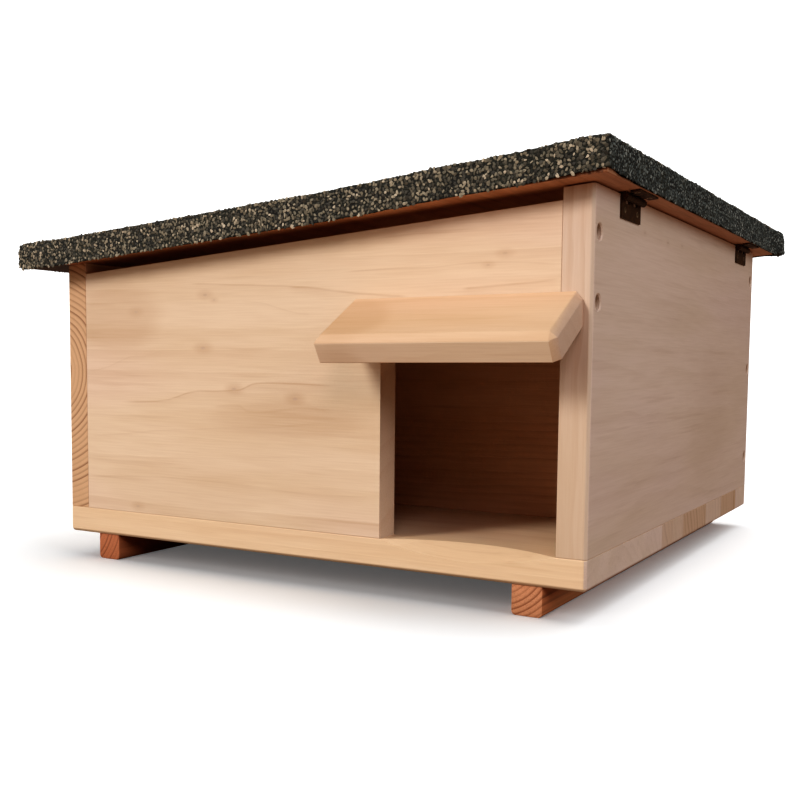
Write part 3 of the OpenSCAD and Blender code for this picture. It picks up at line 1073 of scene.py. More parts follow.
@dataclass(frozen=True)
class ScrewSeats:
    """The countersinks and counterbores that screw heads sit in."""

    head: float = 8.1 * MM
    shank: float = 4.1 * MM
    sink: float = 3.2 * MM
    bore: float = 10 * MM
    mouth: float = 11.6 * MM
    mouth_depth: float = 0.9 * MM
    bore_depth: float = 4 * MM
    past: float = 1 * MM
    lip: float = 0.05 * MM

    def cut(
        self, piece: bpy.types.Object, heads: Sequence[Vector], into: Vector, bored: bool = False
    ) -> None:
        """Cuts a seat at each head.

        Args:
            piece: The board that the heads are sunk in.
            heads: The middle of each head's outer face.
            into: The direction that the screws point in.
            bored: Whether a counterbore leads to each head.
        """
        bore, reach = self.bore / 2, self.bore_depth + self.past
        mouth = self.mouth / 2 + (self.mouth - self.bore) / 2 / self.mouth_depth * self.past
        cones = [("sink", self.lip, self.head / 2, self.shank / 2, self.sink + self.lip)]
        if bored:
            cones[:0] = [
                ("bore", reach, bore, bore, reach),
                ("mouth", reach, mouth, bore, self.mouth_depth + self.past),
            ]
        for name, back, outer, inner, length in cones:
            tools = [Bench.cone(name, head - into * back, into, outer, inner, length) for head in heads]
            Bench.cut(piece, tools)


@dataclass
class HouseBox:
    """The floor, the two side walls, the two panels and the partition."""

    slope: float = ROOF_SLOPE
    arris: float = 2 * MM
    soft: float = 0.5 * MM
    roof_gap: float = 0.9 * MM
    top_reach: float = 5 * MM
    doorway: float = 126 * MM
    doorway_high: float = 127 * MM
    past: float = 1 * MM
    sill_reach: float = 18 * MM
    sill_dip: float = 9 * MM
    sill_sides: int = 360
    seats: ScrewSeats = ScrewSeats()

    def build(self) -> None:
        """Builds and dresses every board of the box."""
        self.floor()
        self.left_wall()
        self.right_wall()
        self.front_panel()
        self.back_panel()
        self.partition()

    def upright(self, node: str, rounded: float | None = None) -> bpy.types.Object:
        """Makes an upright board whose top follows the roof.

        Args:
            node: The node that it stands for.
            rounded: The outer face whose two upright edges are chamfered, by its place along X.

        Returns:
            The board, in its node's place.
        """
        low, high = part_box(node)
        board = Bench.block(node + "_board", low, high)
        drop = (high[0] - low[0]) * math.tan(self.slope)
        Bench.move(board, lambda v: near(v.co.z, high[2]) and near(v.co.x, low[0]), (0, 0, -drop))
        if rounded is not None:
            Bench.round_edges(
                board, lambda e: edge_runs(e, Axis.Z) and near(edge_middle(e).x, rounded), self.arris, 1
            )
        Bench.soften(board, self.soft)
        return board

    def fit(
        self,
        board: bpy.types.Object,
        node: str,
        timber: Timber,
        cut: Cut,
        edge: Cut | None = None,
        rim: Timber | None = None,
    ) -> None:
        """Smooths an upright board, dresses it and puts it in its node's place.

        Args:
            board: The board.
            node: The node that it stands for.
            timber: Its timber.
            cut: How it was sawn.
            edge: The cut that shows on the faces across its grain, if it isn't the same one.
            rim: The timber of those faces, if it isn't the same one.
        """
        Bench.smooth(board, BOARD_ANGLE)
        timber.dress(board, cut, edge, rim)
        ride(board, Body.HOUSE, Slot.LIGHT_BOARD, node)

    def floor(self) -> None:
        """Makes the floor board, with a hollowed sill across the entrance."""
        low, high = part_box("base_plate")
        board = Bench.block("floor_board", low, high)
        Bench.round_edges(
            board, lambda e: edge_runs(e, Axis.Z) or near(edge_middle(e).z, low[2]), self.arris, 1
        )
        Bench.soften(board, self.soft)
        Bench.cut(board, [self.sill()])
        heads = spots("floor_screws", Axis.Z) + spots("partition_screws", Axis.Z)
        self.seats.cut(board, heads, Vector((0, 0, 1)))
        Bench.smooth(board, BOARD_ANGLE)
        tops = ((-240, 0.0), (-148, 0.3), (-61, 0.1), (98, 0.3), (181, 0.0))
        ends = (
            (-240, 0.0), (-63, 0.5), (-34, 0.4), (-3, 0.8), (73, 0.25), (86, 0.35),
            (129, 0.85), (181, 1.0), (189, 0.2),
        )
        top, end = (tuple(Stave(*stave) for stave in staves) for staves in (tops, ends))
        cut = Cut(Axis.X, (-190, -60), ring_gap=8, wander=7, lines=0.18, staves=top, arris=0.4, seed=3.1)
        HONEY.dress(board, cut, replace(cut, lines=0.1, staves=end), ROSE)
        ride(board, Body.HOUSE, Slot.HONEY_BOARD, "base_plate")

    def sill(self) -> bpy.types.Object:
        """Makes the round cutter of the sill, which slopes up into the entrance.

        Returns:
            The cutter.
        """
        low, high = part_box("base_plate")
        slope = math.atan(self.sill_dip / self.sill_reach)
        deep = self.sill_reach * math.sin(slope)
        radius = ((self.doorway / 2) ** 2 + deep**2) / (2 * deep)
        middle = Vector((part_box("right_wall")[0][0] - self.doorway / 2, low[1], high[2]))
        run = Vector((0, math.cos(slope), math.sin(slope)))
        out = Vector((0, -math.sin(slope), math.cos(slope)))
        start = middle + out * (radius - deep) - run * 2 * self.sill_reach
        return Bench.cone("sill", start, run, radius, radius, 4 * self.sill_reach, self.sill_sides)

    def left_wall(self) -> None:
        """Makes the low side wall, whose front edge is end grain."""
        board = self.upright("left_wall", rounded=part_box("left_wall")[0][0])
        self.seats.cut(board, spots("left_wall_screws", Axis.X), Vector((1, 0, 0)), bored=True)
        cut = Cut(Axis.Y, (-232, 148), ring_gap=4.2, wander=2.5, lines=0.3, face=Axis.X, seed=1.7)
        self.fit(board, "left_wall", LIGHT, cut)

    def right_wall(self) -> None:
        """Makes the high side wall, which carries the hinges."""
        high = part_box("right_wall")[1]
        board = self.upright("right_wall", rounded=high[0])
        Bench.move(board, lambda v: v.co.z > high[2] - self.top_reach, (0, 0, -self.roof_gap))
        heads = spots("right_wall_screws", Axis.X, head_high=True)
        self.seats.cut(board, heads, Vector((-1, 0, 0)), bored=True)
        # The first patch, darker towards the rear, and the fourth, darker low at the front, are painted
        # shade; the third, paler high at the front, is painted light. The Bore marks are painted shade on the
        # bottoms of the counterbores.
        marks = (
            Patch(250, 150, 260, 300, 0.24, 0.8),
            Patch(70, 100, 60, 50, 0.1, 0.6),
            Patch(-150, 200, 60, 60, -0.25, 0.6),
            Patch(-80, 60, 170, 50, 0.16, 0.8),
            Knot(-69.5, 246.2, 0.9, 0.5),
            Knot(-126.7, 247.2, 0.8, 0.4),
            Knot(-30.8, 247.7, 0.8, 0.4),
            *(Bore(head.y / MM, head.z / MM) for head in heads),
        )
        flat = Cut(
            Axis.Y, (150, -70), ring_gap=15, wander=14, lines=0.14, ends=0.0, face=Axis.X,
            marks=marks, arris=0.6, seed=5.3,
        )
        edge = Cut(
            Axis.Z, (150, -160), ring_gap=6.5, wander=17, lines=0.26, ends=0.0,
            marks=(Patch(40, 216, 110, 90, 0.2, 0.7),), arris=0.6, seed=2.9,
        )
        self.fit(board, "right_wall", ROSE, flat, edge, SHADED)

    def front_panel(self) -> None:
        """Makes the front panel, cut away for the entrance."""
        board = self.upright("front_panel")
        low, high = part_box("front_panel")
        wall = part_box("right_wall")[0][0]
        doorway = Bench.block(
            "doorway",
            (wall - self.doorway, low[1] - self.past, low[2] - self.past),
            (wall + self.past, high[1] + self.past, low[2] + self.doorway_high),
        )
        Bench.cut(board, [doorway])
        self.seats.cut(board, spots("porch_screws", Axis.Y, head_high=True), Vector((0, -1, 0)))
        patches = (
            Patch(-160, 188, 46, 28, 0.26),
            Patch(0, 118, 60, 12, 0.16),
            Patch(-100, 60, 80, 20, 0.08),
            Patch(-90, 150, 60, 14, -0.25, 0.5),
            Patch(120, 208, 110, 24, -0.45, 0.6),
        )
        ridge = (
            (-150, 126), (-117, 127), (-103, 129), (-90, 133), (-77, 135.5), (-60, 136),
            (-44, 137), (-36, 138), (-27, 141.6), (-14, 143), (16, 143), (44, 142),
        )
        crest = ((52, 219.2), (91, 220), (119, 219.7), (140, 221.1), (160, 221.5), (185, 220.4), (205, 219))
        veins = (
            Vein(ridge, 0.9, 0.3),
            Vein(((-84, 214.6), (-52, 213.2), (-21, 211.8), (9, 210.5), (23, 209.3), (42, 207)), 0.9, 0.22),
            Vein(((-36, 201), (-13, 198.3), (6, 193.3), (24, 191)), 0.8, 0.1),
            Vein(((-189, 175.6), (-144, 174.9), (-110, 174.5)), 0.7, 0.1),
            Vein(((-189, 148.5), (-163, 153.6), (-146, 159.7), (-127, 161.2), (-108, 165.5)), 0.8, 0.1),
            Vein(((-62, 125), (-38, 126), (-32, 122.5), (-13, 122.3), (15, 126), (42, 125)), 1.6, 0.12),
            Vein(((-188, 98), (-146, 101.2), (-124, 104), (-70, 108), (-4, 112), (42, 116.5)), 1.0, 0.11),
            Vein(((-189, 81.4), (-146, 83.1), (-111, 83.7), (-40, 88), (42, 92.7)), 0.9, 0.11),
            Vein(((-189, 66), (-128, 68.7), (-60, 69), (30, 66), (78, 68)), 0.9, 0.14),
            Vein(((5, 210), (34, 207.7), (54, 205.3), (77, 203.2), (100, 201.8)), 1.2, 0.24),
            Vein(crest, 0.8, 0.22),
            Vein(((140, 205.8), (173, 207.4), (192, 208.6), (205, 210)), 1.1, 0.26),
            Vein(((46, 236.8), (91, 241.1), (133, 242.1)), 0.8, 0.14),
        )
        knots = (
            Knot(-137.0, 194.6, 1.4, 0.7),
            Knot(-71.4, 167.5, 1.6, 0.9),
            Knot(-69.3, 206.1, 1.4, 0.8),
            Knot(-60.9, 202.3, 0.8, 0.6),
            Knot(-42.8, 138.0, 1.5, 0.95),
            Knot(11.0, 132.3, 1.6, 1.0),
            Knot(-137.0, 45.3),
            Knot(169.0, 226.9, 1.2, 0.7),
            Knot(157.6, 220.0, 0.9, 0.6),
        )
        marks = (*patches, *veins, *knots)
        cut = Cut(Axis.X, (-150, -60), ring_gap=15, wander=11, lines=0.2, marks=marks, seed=2.2)
        self.fit(board, "front_panel", QUIET, cut)

    def back_panel(self) -> None:
        """Makes the rear panel."""
        cut = Cut(Axis.X, (330, -50), ring_gap=13, wander=13, lines=0.3, seed=7.9)
        self.fit(self.upright("back_panel"), "back_panel", QUIET, cut)

    def partition(self) -> None:
        """Makes the partition between the corridor and the nest."""
        cut = Cut(Axis.X, (-140, -190), ring_gap=6, wander=9, lines=0.26, seed=9.4)
        self.fit(self.upright("partition_wall"), "partition_wall", DUSKY, cut)


@dataclass
class Feet:
    """The two battens that the house stands on."""

    rounding: float = 3 * MM
    soft: float = 0.6 * MM
    seats: ScrewSeats = ScrewSeats()

    def build(self) -> None:
        """Builds and dresses both battens."""
        heads = spots("batten_screws", Axis.Z)
        for node, timber, pith, seed in (
            ("left_batten", RUSSET, (-212, 34), 4.4),
            ("right_batten", REDDISH, (168, 36), 6.1),
        ):
            low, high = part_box(node)
            piece = Bench.block(node + "_foot", low, high)
            Bench.round_edges(
                piece, lambda e: edge_runs(e, Axis.Y) and near(edge_middle(e).z, low[2]), self.rounding, 4
            )
            Bench.soften(piece, self.soft)
            mine = [head for head in heads if low[0] < head.x < high[0]]
            self.seats.cut(piece, mine, Vector((0, 0, 1)))
            Bench.smooth(piece)
            timber.dress(
                piece, Cut(Axis.Y, pith, ring_gap=3.4, wander=2.0, lines=0.6, face=Axis.X, seed=seed)
            )
            ride(piece, Body.HOUSE, Slot.REDDISH_BATTEN, node)


@dataclass
class Porch:
    """The tilted board over the entrance."""

    reach: float = 54 * MM
    thick: float = 18.7 * MM
    tilt: float = math.radians(30)
    lean: float = math.radians(0.65)
    chamfer: float = 4.3 * MM
    soft: float = 0.6 * MM
    soft_angle: float = 20
    forward: float = 0.8
    downward: float = 0.2

    def build(self) -> None:
        """Builds the board, tilts it, leans it a little to the left and trims its back upright."""
        low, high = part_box("porch_canopy")
        (left, _, _), (right, wall, top) = low, high
        front = wall - self.reach
        board = Bench.block("porch_board", (left, front, top - self.thick), (right, wall + self.thick, top))

        def chamfered(edge: bmesh.types.BMEdge) -> bool:
            """The top edges at the front and the ends, and the upright edge at the front's right.

            Args:
                edge: An edge of the board.

            Returns:
                Whether it is one of them.
            """
            middle = edge_middle(edge)
            at_front, at_right = near(middle.y, front), near(middle.x, right)
            upper = near(middle.z, top) and (at_front or at_right or near(middle.x, left))
            return upper or (edge_runs(edge, Axis.Z) and at_front and at_right)

        Bench.round_edges(board, chamfered, self.chamfer, 1)
        hinge = Matrix.Translation(((left + right) / 2, wall, top))
        turn = Matrix.Rotation(-self.lean, 4, "Y") @ Matrix.Rotation(self.tilt, 4, "X")
        board.matrix_world = hinge @ turn @ hinge.inverted()
        Bench.settle(board)
        Bench.shape(
            board,
            Part.FACE,
            lambda f: True,
            lambda: bpy.ops.mesh.bisect(
                plane_co=(0, wall, 0), plane_no=(0, 1, 0), use_fill=True, clear_outer=True
            ),
        )
        Bench.soften(board, self.soft, self.soft_angle)
        Bench.smooth(board, BOARD_ANGLE)
        marks = (Patch(72, -252, 30, 24, 0.3),)
        cut = Cut(
            Axis.X, (-330, 60), ring_gap=12, wander=9, lines=0.2, face=Axis.Z, marks=marks, seed=8.8
        )
        PORCH.dress(board, cut)
        # The front face, which looks forward and down, takes the paler copy: painted light.
        board.data.materials.append(PORCH_FRONT_PAINTED_LIGHT.sawn("honey_board.porch_board.front", cut).material)
        for face in board.data.polygons:
            if -face.normal.y > self.forward and -face.normal.z > self.downward:
                face.material_index = 1
        ride(board, Body.HOUSE, Slot.HONEY_BOARD, "porch_canopy")


class Side(Enum):
    """A side of the roof, with its outward direction."""

    FRONT = (0, -1, 0)
    RIGHT = (1, 0, 0)
    LEFT = (-1, 0, 0)
    BACK = (0, 1, 0)
    TOP = (0, 0, 1)


@dataclass(frozen=True)
class Scatter:
    """How stones are strewn over one side of the felt, or over a band of it along X, in millimetres."""

    side: Side
    spacing: float
    size: float
    finish: Chippings
    seed: int
    facing: float = 0.72
    band: tuple[float, float] = (-1000, 1000)
    label: str = ""
    sunk: float = 0.2
    smallest: float = 0.62
    largest: float = 1.15
    stretch: float = 1.1
    squeeze: float = 0.9


@dataclass
class Roof:
    """The roof board and its gritted felt.

    The bend, the hem and the brow are places and steps in millimetres: past each place the felt steps
    up or down.
    """

    slope: float = ROOF_SLOPE
    soft: float = 0.5 * MM
    rim: float = 1.8 * MM
    fold: float = 5.5 * MM
    sunk: float = 0.4 * MM
    cells: int = 60
    side_cells: int = 5
    close: float = 5 * MM
    short: float = 10 * MM
    long: float = 100 * MM
    top_part: float = 12 * MM
    skirt: float = 3 * MM
    brow_skirt: float = 4 * MM
    brow_high: float = 16 * MM
    corner: Point = (6.6 * MM, 2 * MM, -2.4 * MM)
    corner_part: float = 6 * MM
    corner_reach: float = 30 * MM
    tuck: Point = (-3.2 * MM, -1.5 * MM, 1.4 * MM)
    tuck_past: float = 2 * MM
    tuck_high: float = 1.5 * MM
    slack: float = 1.0 * MM
    slack_size: float = 22 * MM
    room_drop: float = 3.4 * MM
    room_deep: float = 9 * MM
    chip_flats: tuple[float, ...] = (0.3, 0.36, 0.42, 0.33)
    chip_rough: float = 0.2
    shell_angle: float = 50
    stone_angle: float = 45
    hem: Steps = ((-236, -0.8), (-222, -0.8), (-200, -0.6), (60, -0.4), (120, -0.4), (180, -0.5))
    bend: Steps = (
        (-250, -1.4), (-210, -0.9), (60, 0.5), (85, 0.6), (110, 0.6), (130, 0.5),
        (165, 0.4), (190, 0.4), (208, 0.7), (222, 0.7), (234, 0.6),
    )
    brow: Steps = ((160, -0.3), (60, -0.3), (-60, -0.3), (-160, -0.3))
    scatters: tuple[Scatter, ...] = (
        Scatter(Side.FRONT, 1.75, 1.75, WARM_STONES, 11, 0.97),
        Scatter(Side.RIGHT, 1.6, 1.5, SHADE_PAINTED_STONES, 12, 0.9),
        Scatter(Side.LEFT, 1.6, 1.4, WARM_STONES, 13, 0.55),
        Scatter(Side.BACK, 1.75, 1.75, WARM_STONES, 14, 0.9),
        Scatter(Side.TOP, 2.6, 1.9, WARM_STONES, 15, band=(-1000, -80), label="_low"),
        Scatter(Side.TOP, 2.6, 1.9, WARM_STONES, 16, band=(-80, 80), label="_middle"),
        Scatter(Side.TOP, 2.6, 1.9, WARM_STONES, 17, band=(80, 1000), label="_high"),
    )

    def build(self) -> None:
        """Builds and dresses the board, the felt and its stones."""
        self.board()
        shell = self.shell()
        chips = self.chips()
        for scatter in self.scatters:
            self.strew(shell, chips, scatter)
        for chip in list(chips.objects):
            bpy.data.meshes.remove(chip.data)
        bpy.data.collections.remove(chips)
        self.hollow(shell)
        Bench.smooth(shell, self.shell_angle)
        Bitumen().dress(shell)
        ride(shell, Body.ROOF, Slot.GRITTED_FELT, "roof_felt")

    def sloped(self, name: str, node: str, drop: float = 0.0) -> bpy.types.Object:
        """Makes a block in a node's box whose top and underside follow the roof's slope.

        Args:
            name: The piece's name.
            node: The node.
            drop: How far its top is lowered.

        Returns:
            The sloped block.
        """
        low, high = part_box(node)
        block = Bench.block(name, low, high)
        rise = (high[0] - low[0]) * math.tan(self.slope)
        Bench.move(block, lambda v: near(v.co.z, high[2]) and near(v.co.x, low[0]), (0, 0, -rise))
        Bench.move(block, lambda v: near(v.co.z, low[2]) and near(v.co.x, high[0]), (0, 0, rise))
        if drop:
            Bench.move(block, lambda v: v.normal.z > 0, (0, 0, -drop))
        return block

    def board(self) -> None:
        """Makes the roof board, a little thinner than the model's, so that the felt can settle."""
        board = self.sloped("roof_deck", "roof_board", self.room_drop)
        Bench.soften(board, self.soft)
        Bench.smooth(board, BOARD_ANGLE)
        # Painted shade: a dark strip on the board under the roof's left overhang, in the board's darkest ring
        # colour.
        painted_overhang_shade = Patch(0, -234, 900, 27, 1.0, 0.1)
        BROWN.dress(
            board,
            Cut(Axis.Y, (-60, 60), ring_gap=7, wander=10, lines=0.16, face=Axis.Z, marks=(painted_overhang_shade,), seed=1.2),
        )
        ride(board, Body.ROOF, Slot.BROWN_BOARD, "roof_board")

    def shell(self) -> bpy.types.Object:
        """Makes the felt's outside as one soft block.

        Returns:
            The block, not yet hollowed for the board.
        """
        shell = self.sloped("felt_cover", "roof_felt")
        low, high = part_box("roof_felt")
        for axis, edge, step in ((0, low[0], 1), (0, high[0], -1), (1, low[1], 1), (1, high[1], -1)):
            push = [0.0, 0.0, 0.0]
            push[axis] = step * self.sunk
            Bench.move(shell, lambda v: near(v.co[axis], edge), push)
        down = (0, 0, -self.sunk)
        Bench.move(shell, lambda v: v.co.z > high[2] - self.top_part and v.co.x > 0, down)
        Bench.move(shell, lambda v: v.co.x < 0 and v.co.z > low[2] + self.short, down)

        def folded(edge: bmesh.types.BMEdge) -> bool:
            """The long edges of the left side, where the felt folds over loosely."""
            return edge_middle(edge).x < low[0] + self.close and edge_runs(edge, Axis.Y)

        def rimmed(edge: bmesh.types.BMEdge) -> bool:
            """The upright edges and the top edges of the three other sides.

            Args:
                edge: An edge of the block.

            Returns:
                Whether it is one of them.
            """
            middle = edge_middle(edge)
            over = middle.z > high[2] - (high[0] - middle.x) * math.tan(self.slope) - self.close
            if edge_runs(edge, Axis.Y):
                return middle.x > 0 and over
            return edge.calc_length() > self.short and (edge_runs(edge, Axis.Z) or over)

        Bench.round_edges(shell, folded, self.fold, 4)
        Bench.round_edges(shell, rimmed, self.rim, 3)
        self.divide(shell, lambda e: e.calc_length() > self.long, self.cells)
        self.divide(shell, lambda e: edge_runs(e, Axis.Z) and e.calc_length() > self.short, self.side_cells)
        self.sag(shell, high[0])
        self.swell_corner(shell)
        self.slacken(shell)
        return shell

    def sag(self, shell: bpy.types.Object, right: float) -> None:
        """Bends the felt along X and steps the hem and the brow of its right side.

        Args:
            shell: The felt's outside.
            right: Its right side's place along X.
        """
        for place, step in self.bend:
            Bench.move(shell, lambda v: v.co.x > place * MM, (0, 0, step * MM))
        foot = min(corner.co.z for corner in shell.data.vertices if corner.co.x > right - self.skirt)

        def in_hem(corner: bmesh.types.BMVert) -> bool:
            """Whether a corner is in the hem of the right side."""
            return corner.co.x > right - self.skirt and corner.co.z < foot + self.close

        def in_brow(corner: bmesh.types.BMVert) -> bool:
            """Whether a corner is at the top of the right side."""
            return corner.co.x > right - self.brow_skirt and corner.co.z > foot + self.brow_high

        for place, step in self.hem:
            Bench.move(shell, lambda v: in_hem(v) and v.co.y > place * MM, (0, 0, step * MM))
        for place, step in self.brow:
            Bench.move(shell, lambda v: in_brow(v) and v.co.y < place * MM, (0, 0, step * MM))

    def swell_corner(self, shell: bpy.types.Object) -> None:
        """Swells the rear right corner, where the felt is folded double.

        Args:
            shell: The felt's outside.
        """
        right, rear, top = (end - self.corner_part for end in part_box("roof_felt")[1])
        Bench.shape(
            shell,
            Part.CORNER,
            lambda v: v.co.x > right and v.co.y > rear and v.co.z < top,
            lambda: bpy.ops.transform.translate(
                value=self.corner,
                use_proportional_edit=True,
                proportional_edit_falloff="SMOOTH",
                proportional_size=self.corner_reach,
            ),
        )
        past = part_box("roof_felt")[1][0] + self.tuck_past
        foot = min(corner.co.z for corner in shell.data.vertices if corner.co.x > past)
        Bench.move(shell, lambda v: v.co.x > past and v.co.z < foot + self.tuck_high, self.tuck)

    def divide(self, piece: bpy.types.Object, test: Callable[..., bool], cuts: int) -> None:
        """Divides the edges of a piece that pass a test."""
        Bench.shape(piece, Part.EDGE, test, lambda: bpy.ops.mesh.subdivide(number_cuts=cuts))

    def slacken(self, shell: bpy.types.Object) -> None:
        """Gives the felt the slack of hand-folded felt.

        Args:
            shell: The felt's outside.
        """
        texture = bpy.data.textures.new("slack", "CLOUDS")
        texture.noise_scale = self.slack_size
        texture.noise_depth = 2
        settings = {"texture": texture, "strength": self.slack, "mid_level": 0.6, "texture_coords": "LOCAL"}
        Bench.modify(shell, "DISPLACE", **settings)

    def chips(self) -> bpy.types.Collection:
        """Makes a few different stone chips.

        Returns:
            A collection of chips at the origin, each about 2 metres across.
        """
        chips = bpy.data.collections.new("chips")
        bpy.context.scene.collection.children.link(chips)
        for index, flat in enumerate(self.chip_flats):
            bpy.ops.object.select_all(action="DESELECT")
            bpy.ops.mesh.primitive_ico_sphere_add(subdivisions=1, radius=1, location=(0, 0, 0))
            chip = Bench.name(f"chip_{index}")
            chip.scale = (1.0, 0.86 + 0.05 * index, flat)
            Bench.settle(chip)
            Bench.shape(
                chip,
                Part.CORNER,
                lambda v: True,
                lambda: bpy.ops.transform.vertex_random(offset=self.chip_rough, seed=index + 1),
            )
            for holder in list(chip.users_collection):
                holder.objects.unlink(chip)
            chips.objects.link(chip)
        return chips

    def strew(self, shell: bpy.types.Object, chips: bpy.types.Collection, scatter: Scatter) -> None:
        """Strews stones over one side of the felt.

        Args:
            shell: The felt's outside.
            chips: The chips to strew.
            scatter: Which side, how closely and how large.
        """
        bed = Bench.copy(shell, f"felt_grit_{scatter.side.name.lower()}{scatter.label}")
        out = Vector(scatter.side.value)
        first, last = (place * MM for place in scatter.band)

        def elsewhere(face: bmesh.types.BMFace) -> bool:
            """Whether a face looks another way or lies outside the band."""
            return face.normal.dot(out) < scatter.facing or not first <= face.calc_center_median().x < last

        Bench.shape(bed, Part.FACE, elsewhere, lambda: bpy.ops.mesh.delete(type="FACE"))
        Bench.modify(bed, "NODES", node_group=self.strewing(chips, scatter))
        Bench.smooth(bed, self.stone_angle)
        scatter.finish.dress(bed)
        ride(bed, Body.ROOF, Slot.GRITTED_FELT)

    def strewing(self, chips: bpy.types.Collection, scatter: Scatter) -> bpy.types.NodeTree:
        """Builds the nodes that strew chips on a surface.

        Args:
            chips: The chips to strew.
            scatter: How closely, how large and with which seed.

        Returns:
            The node group.
        """
        group = bpy.data.node_groups.new("strew", "GeometryNodeTree")
        group.interface.new_socket("Bed", in_out="INPUT", socket_type="NodeSocketGeometry")
        group.interface.new_socket("Stones", in_out="OUTPUT", socket_type="NodeSocketGeometry")
        nodes = NodeTree(group, family="")

        def draw(kind: str, low: object, high: object, seed: int) -> bpy.types.NodeSocket:
            """Draws a random value for each stone.

            Args:
                kind: The value's type.
                low: Its lowest value.
                high: Its highest value.
                seed: The draw's seed.

            Returns:
                The value.
            """
            first, output = {"FLOAT_VECTOR": (0, 0), "FLOAT": (2, 1), "INT": (4, 2)}[kind]
            values = {first: low, first + 1: high, "Seed": seed}
            return nodes.node("FunctionNodeRandomValue", {"data_type": kind}, values).outputs[output]

        def grown(share: float) -> tuple[float, float, float]:
            """A stone's size along each axis, at a share of the usual one."""
            size = scatter.size * MM * share
            return (size * scatter.stretch, size * scatter.squeeze, size)

        spacing = scatter.spacing * MM
        spread = nodes.node(
            "GeometryNodeDistributePointsOnFaces",
            {"distribute_method": "POISSON"},
            {
                "Mesh": nodes.node("NodeGroupInput").outputs[0],
                "Distance Min": spacing,
                "Density Max": 3 / spacing**2,
                "Seed": scatter.seed,
            },
        )
        tilt = draw("FLOAT_VECTOR", (-0.3, -0.3, 0.0), (0.3, 0.3, 6.28), 1)
        spin = nodes.node("FunctionNodeEulerToRotation", values={0: tilt})
        turned = nodes.node(
            "FunctionNodeRotateRotation",
            {"rotation_space": "LOCAL"},
            {0: spread.outputs["Rotation"], 1: spin.outputs[0]},
        )
        bedding = nodes.node(
            "ShaderNodeVectorMath",
            {"operation": "SCALE"},
            {0: spread.outputs["Normal"], "Scale": -scatter.sunk * MM},
        )
        bedded = nodes.node(
            "GeometryNodeSetPosition",
            values={"Geometry": spread.outputs["Points"], "Offset": bedding.outputs[0]},
        )
        stock = nodes.node(
            "GeometryNodeCollectionInfo",
            {"transform_space": "ORIGINAL"},
            {"Collection": chips, "Separate Children": True, "Reset Children": True},
        )
        set_down = nodes.node(
            "GeometryNodeInstanceOnPoints",
            values={
                "Points": bedded.outputs[0],
                "Instance": stock.outputs[0],
                "Pick Instance": True,
                "Instance Index": draw("INT", 0, len(chips.objects) - 1, 2),
                "Rotation": turned.outputs[0],
                "Scale": draw("FLOAT_VECTOR", grown(scatter.smallest), grown(scatter.largest), 3),
            },
        )
        toned = nodes.node(
            "GeometryNodeStoreNamedAttribute",
            {"data_type": "FLOAT", "domain": "INSTANCE"},
            {"Geometry": set_down.outputs[0], "Name": "tone", "Value": draw("FLOAT", 0.0, 1.0, 4)},
        )
        solid = nodes.node("GeometryNodeRealizeInstances", values={0: toned.outputs[0]})
        nodes.node("NodeGroupOutput", values={0: solid.outputs[0]})
        return group

    def hollow(self, shell: bpy.types.Object) -> None:
        """Cuts the board's room out of the felt.

        Args:
            shell: The felt's outside.
        """
        room = self.sloped("room", "roof_board", self.room_drop)
        Bench.move(room, lambda v: v.normal.z < 0, (0, 0, -self.room_deep))
        Bench.cut(shell, [room])


@dataclass
class Fittings:
    """The hinges and screws, whose solids are right and get their finishes here."""

    weld: float = 0.005 * MM
    bronze: tuple[str, ...] = (
        "front_hinge_wall_leaf",
        "rear_hinge_wall_leaf",
        "front_hinge_roof_leaf",
        "rear_hinge_roof_leaf",
        "front_hinge_pin",
        "rear_hinge_pin",
    )
    # The hinge screws, whose pale bronze is a painted glint.
    wear_and_glint: tuple[str, ...] = ("hinge_wall_screws", "hinge_roof_screws")
    zinc: tuple[str, ...] = (
        "right_wall_screws",
        "left_wall_screws",
        "floor_screws",
        "partition_screws",
        "batten_screws",
        "porch_screws",
    )

    def build(self) -> None:
        """Dresses each fitting and welds its doubled corners."""
        for finish, nodes in ((BRONZE, self.bronze), (GLINT_PAINTED_BRONZE, self.wear_and_glint), (ZINC, self.zinc)):
            for node in nodes:
                piece = frame["nodes"][node]
                finish.dress(piece)
                piece.modifiers.new("weld", "WELD").merge_threshold = self.weld
                LOG.info("%s: dressed in %s", node, finish.name)


@dataclass(frozen=True)
class Sun:
    """One broad, distant light.

    Its azimuth is counted from the front towards the right and its height from the floor, both in degrees
    like its spread. Its strength is the red, green and blue that it gives a white surface that faces it.
    """

    name: str
    azimuth: float
    height: float
    spread: float
    strength: Point


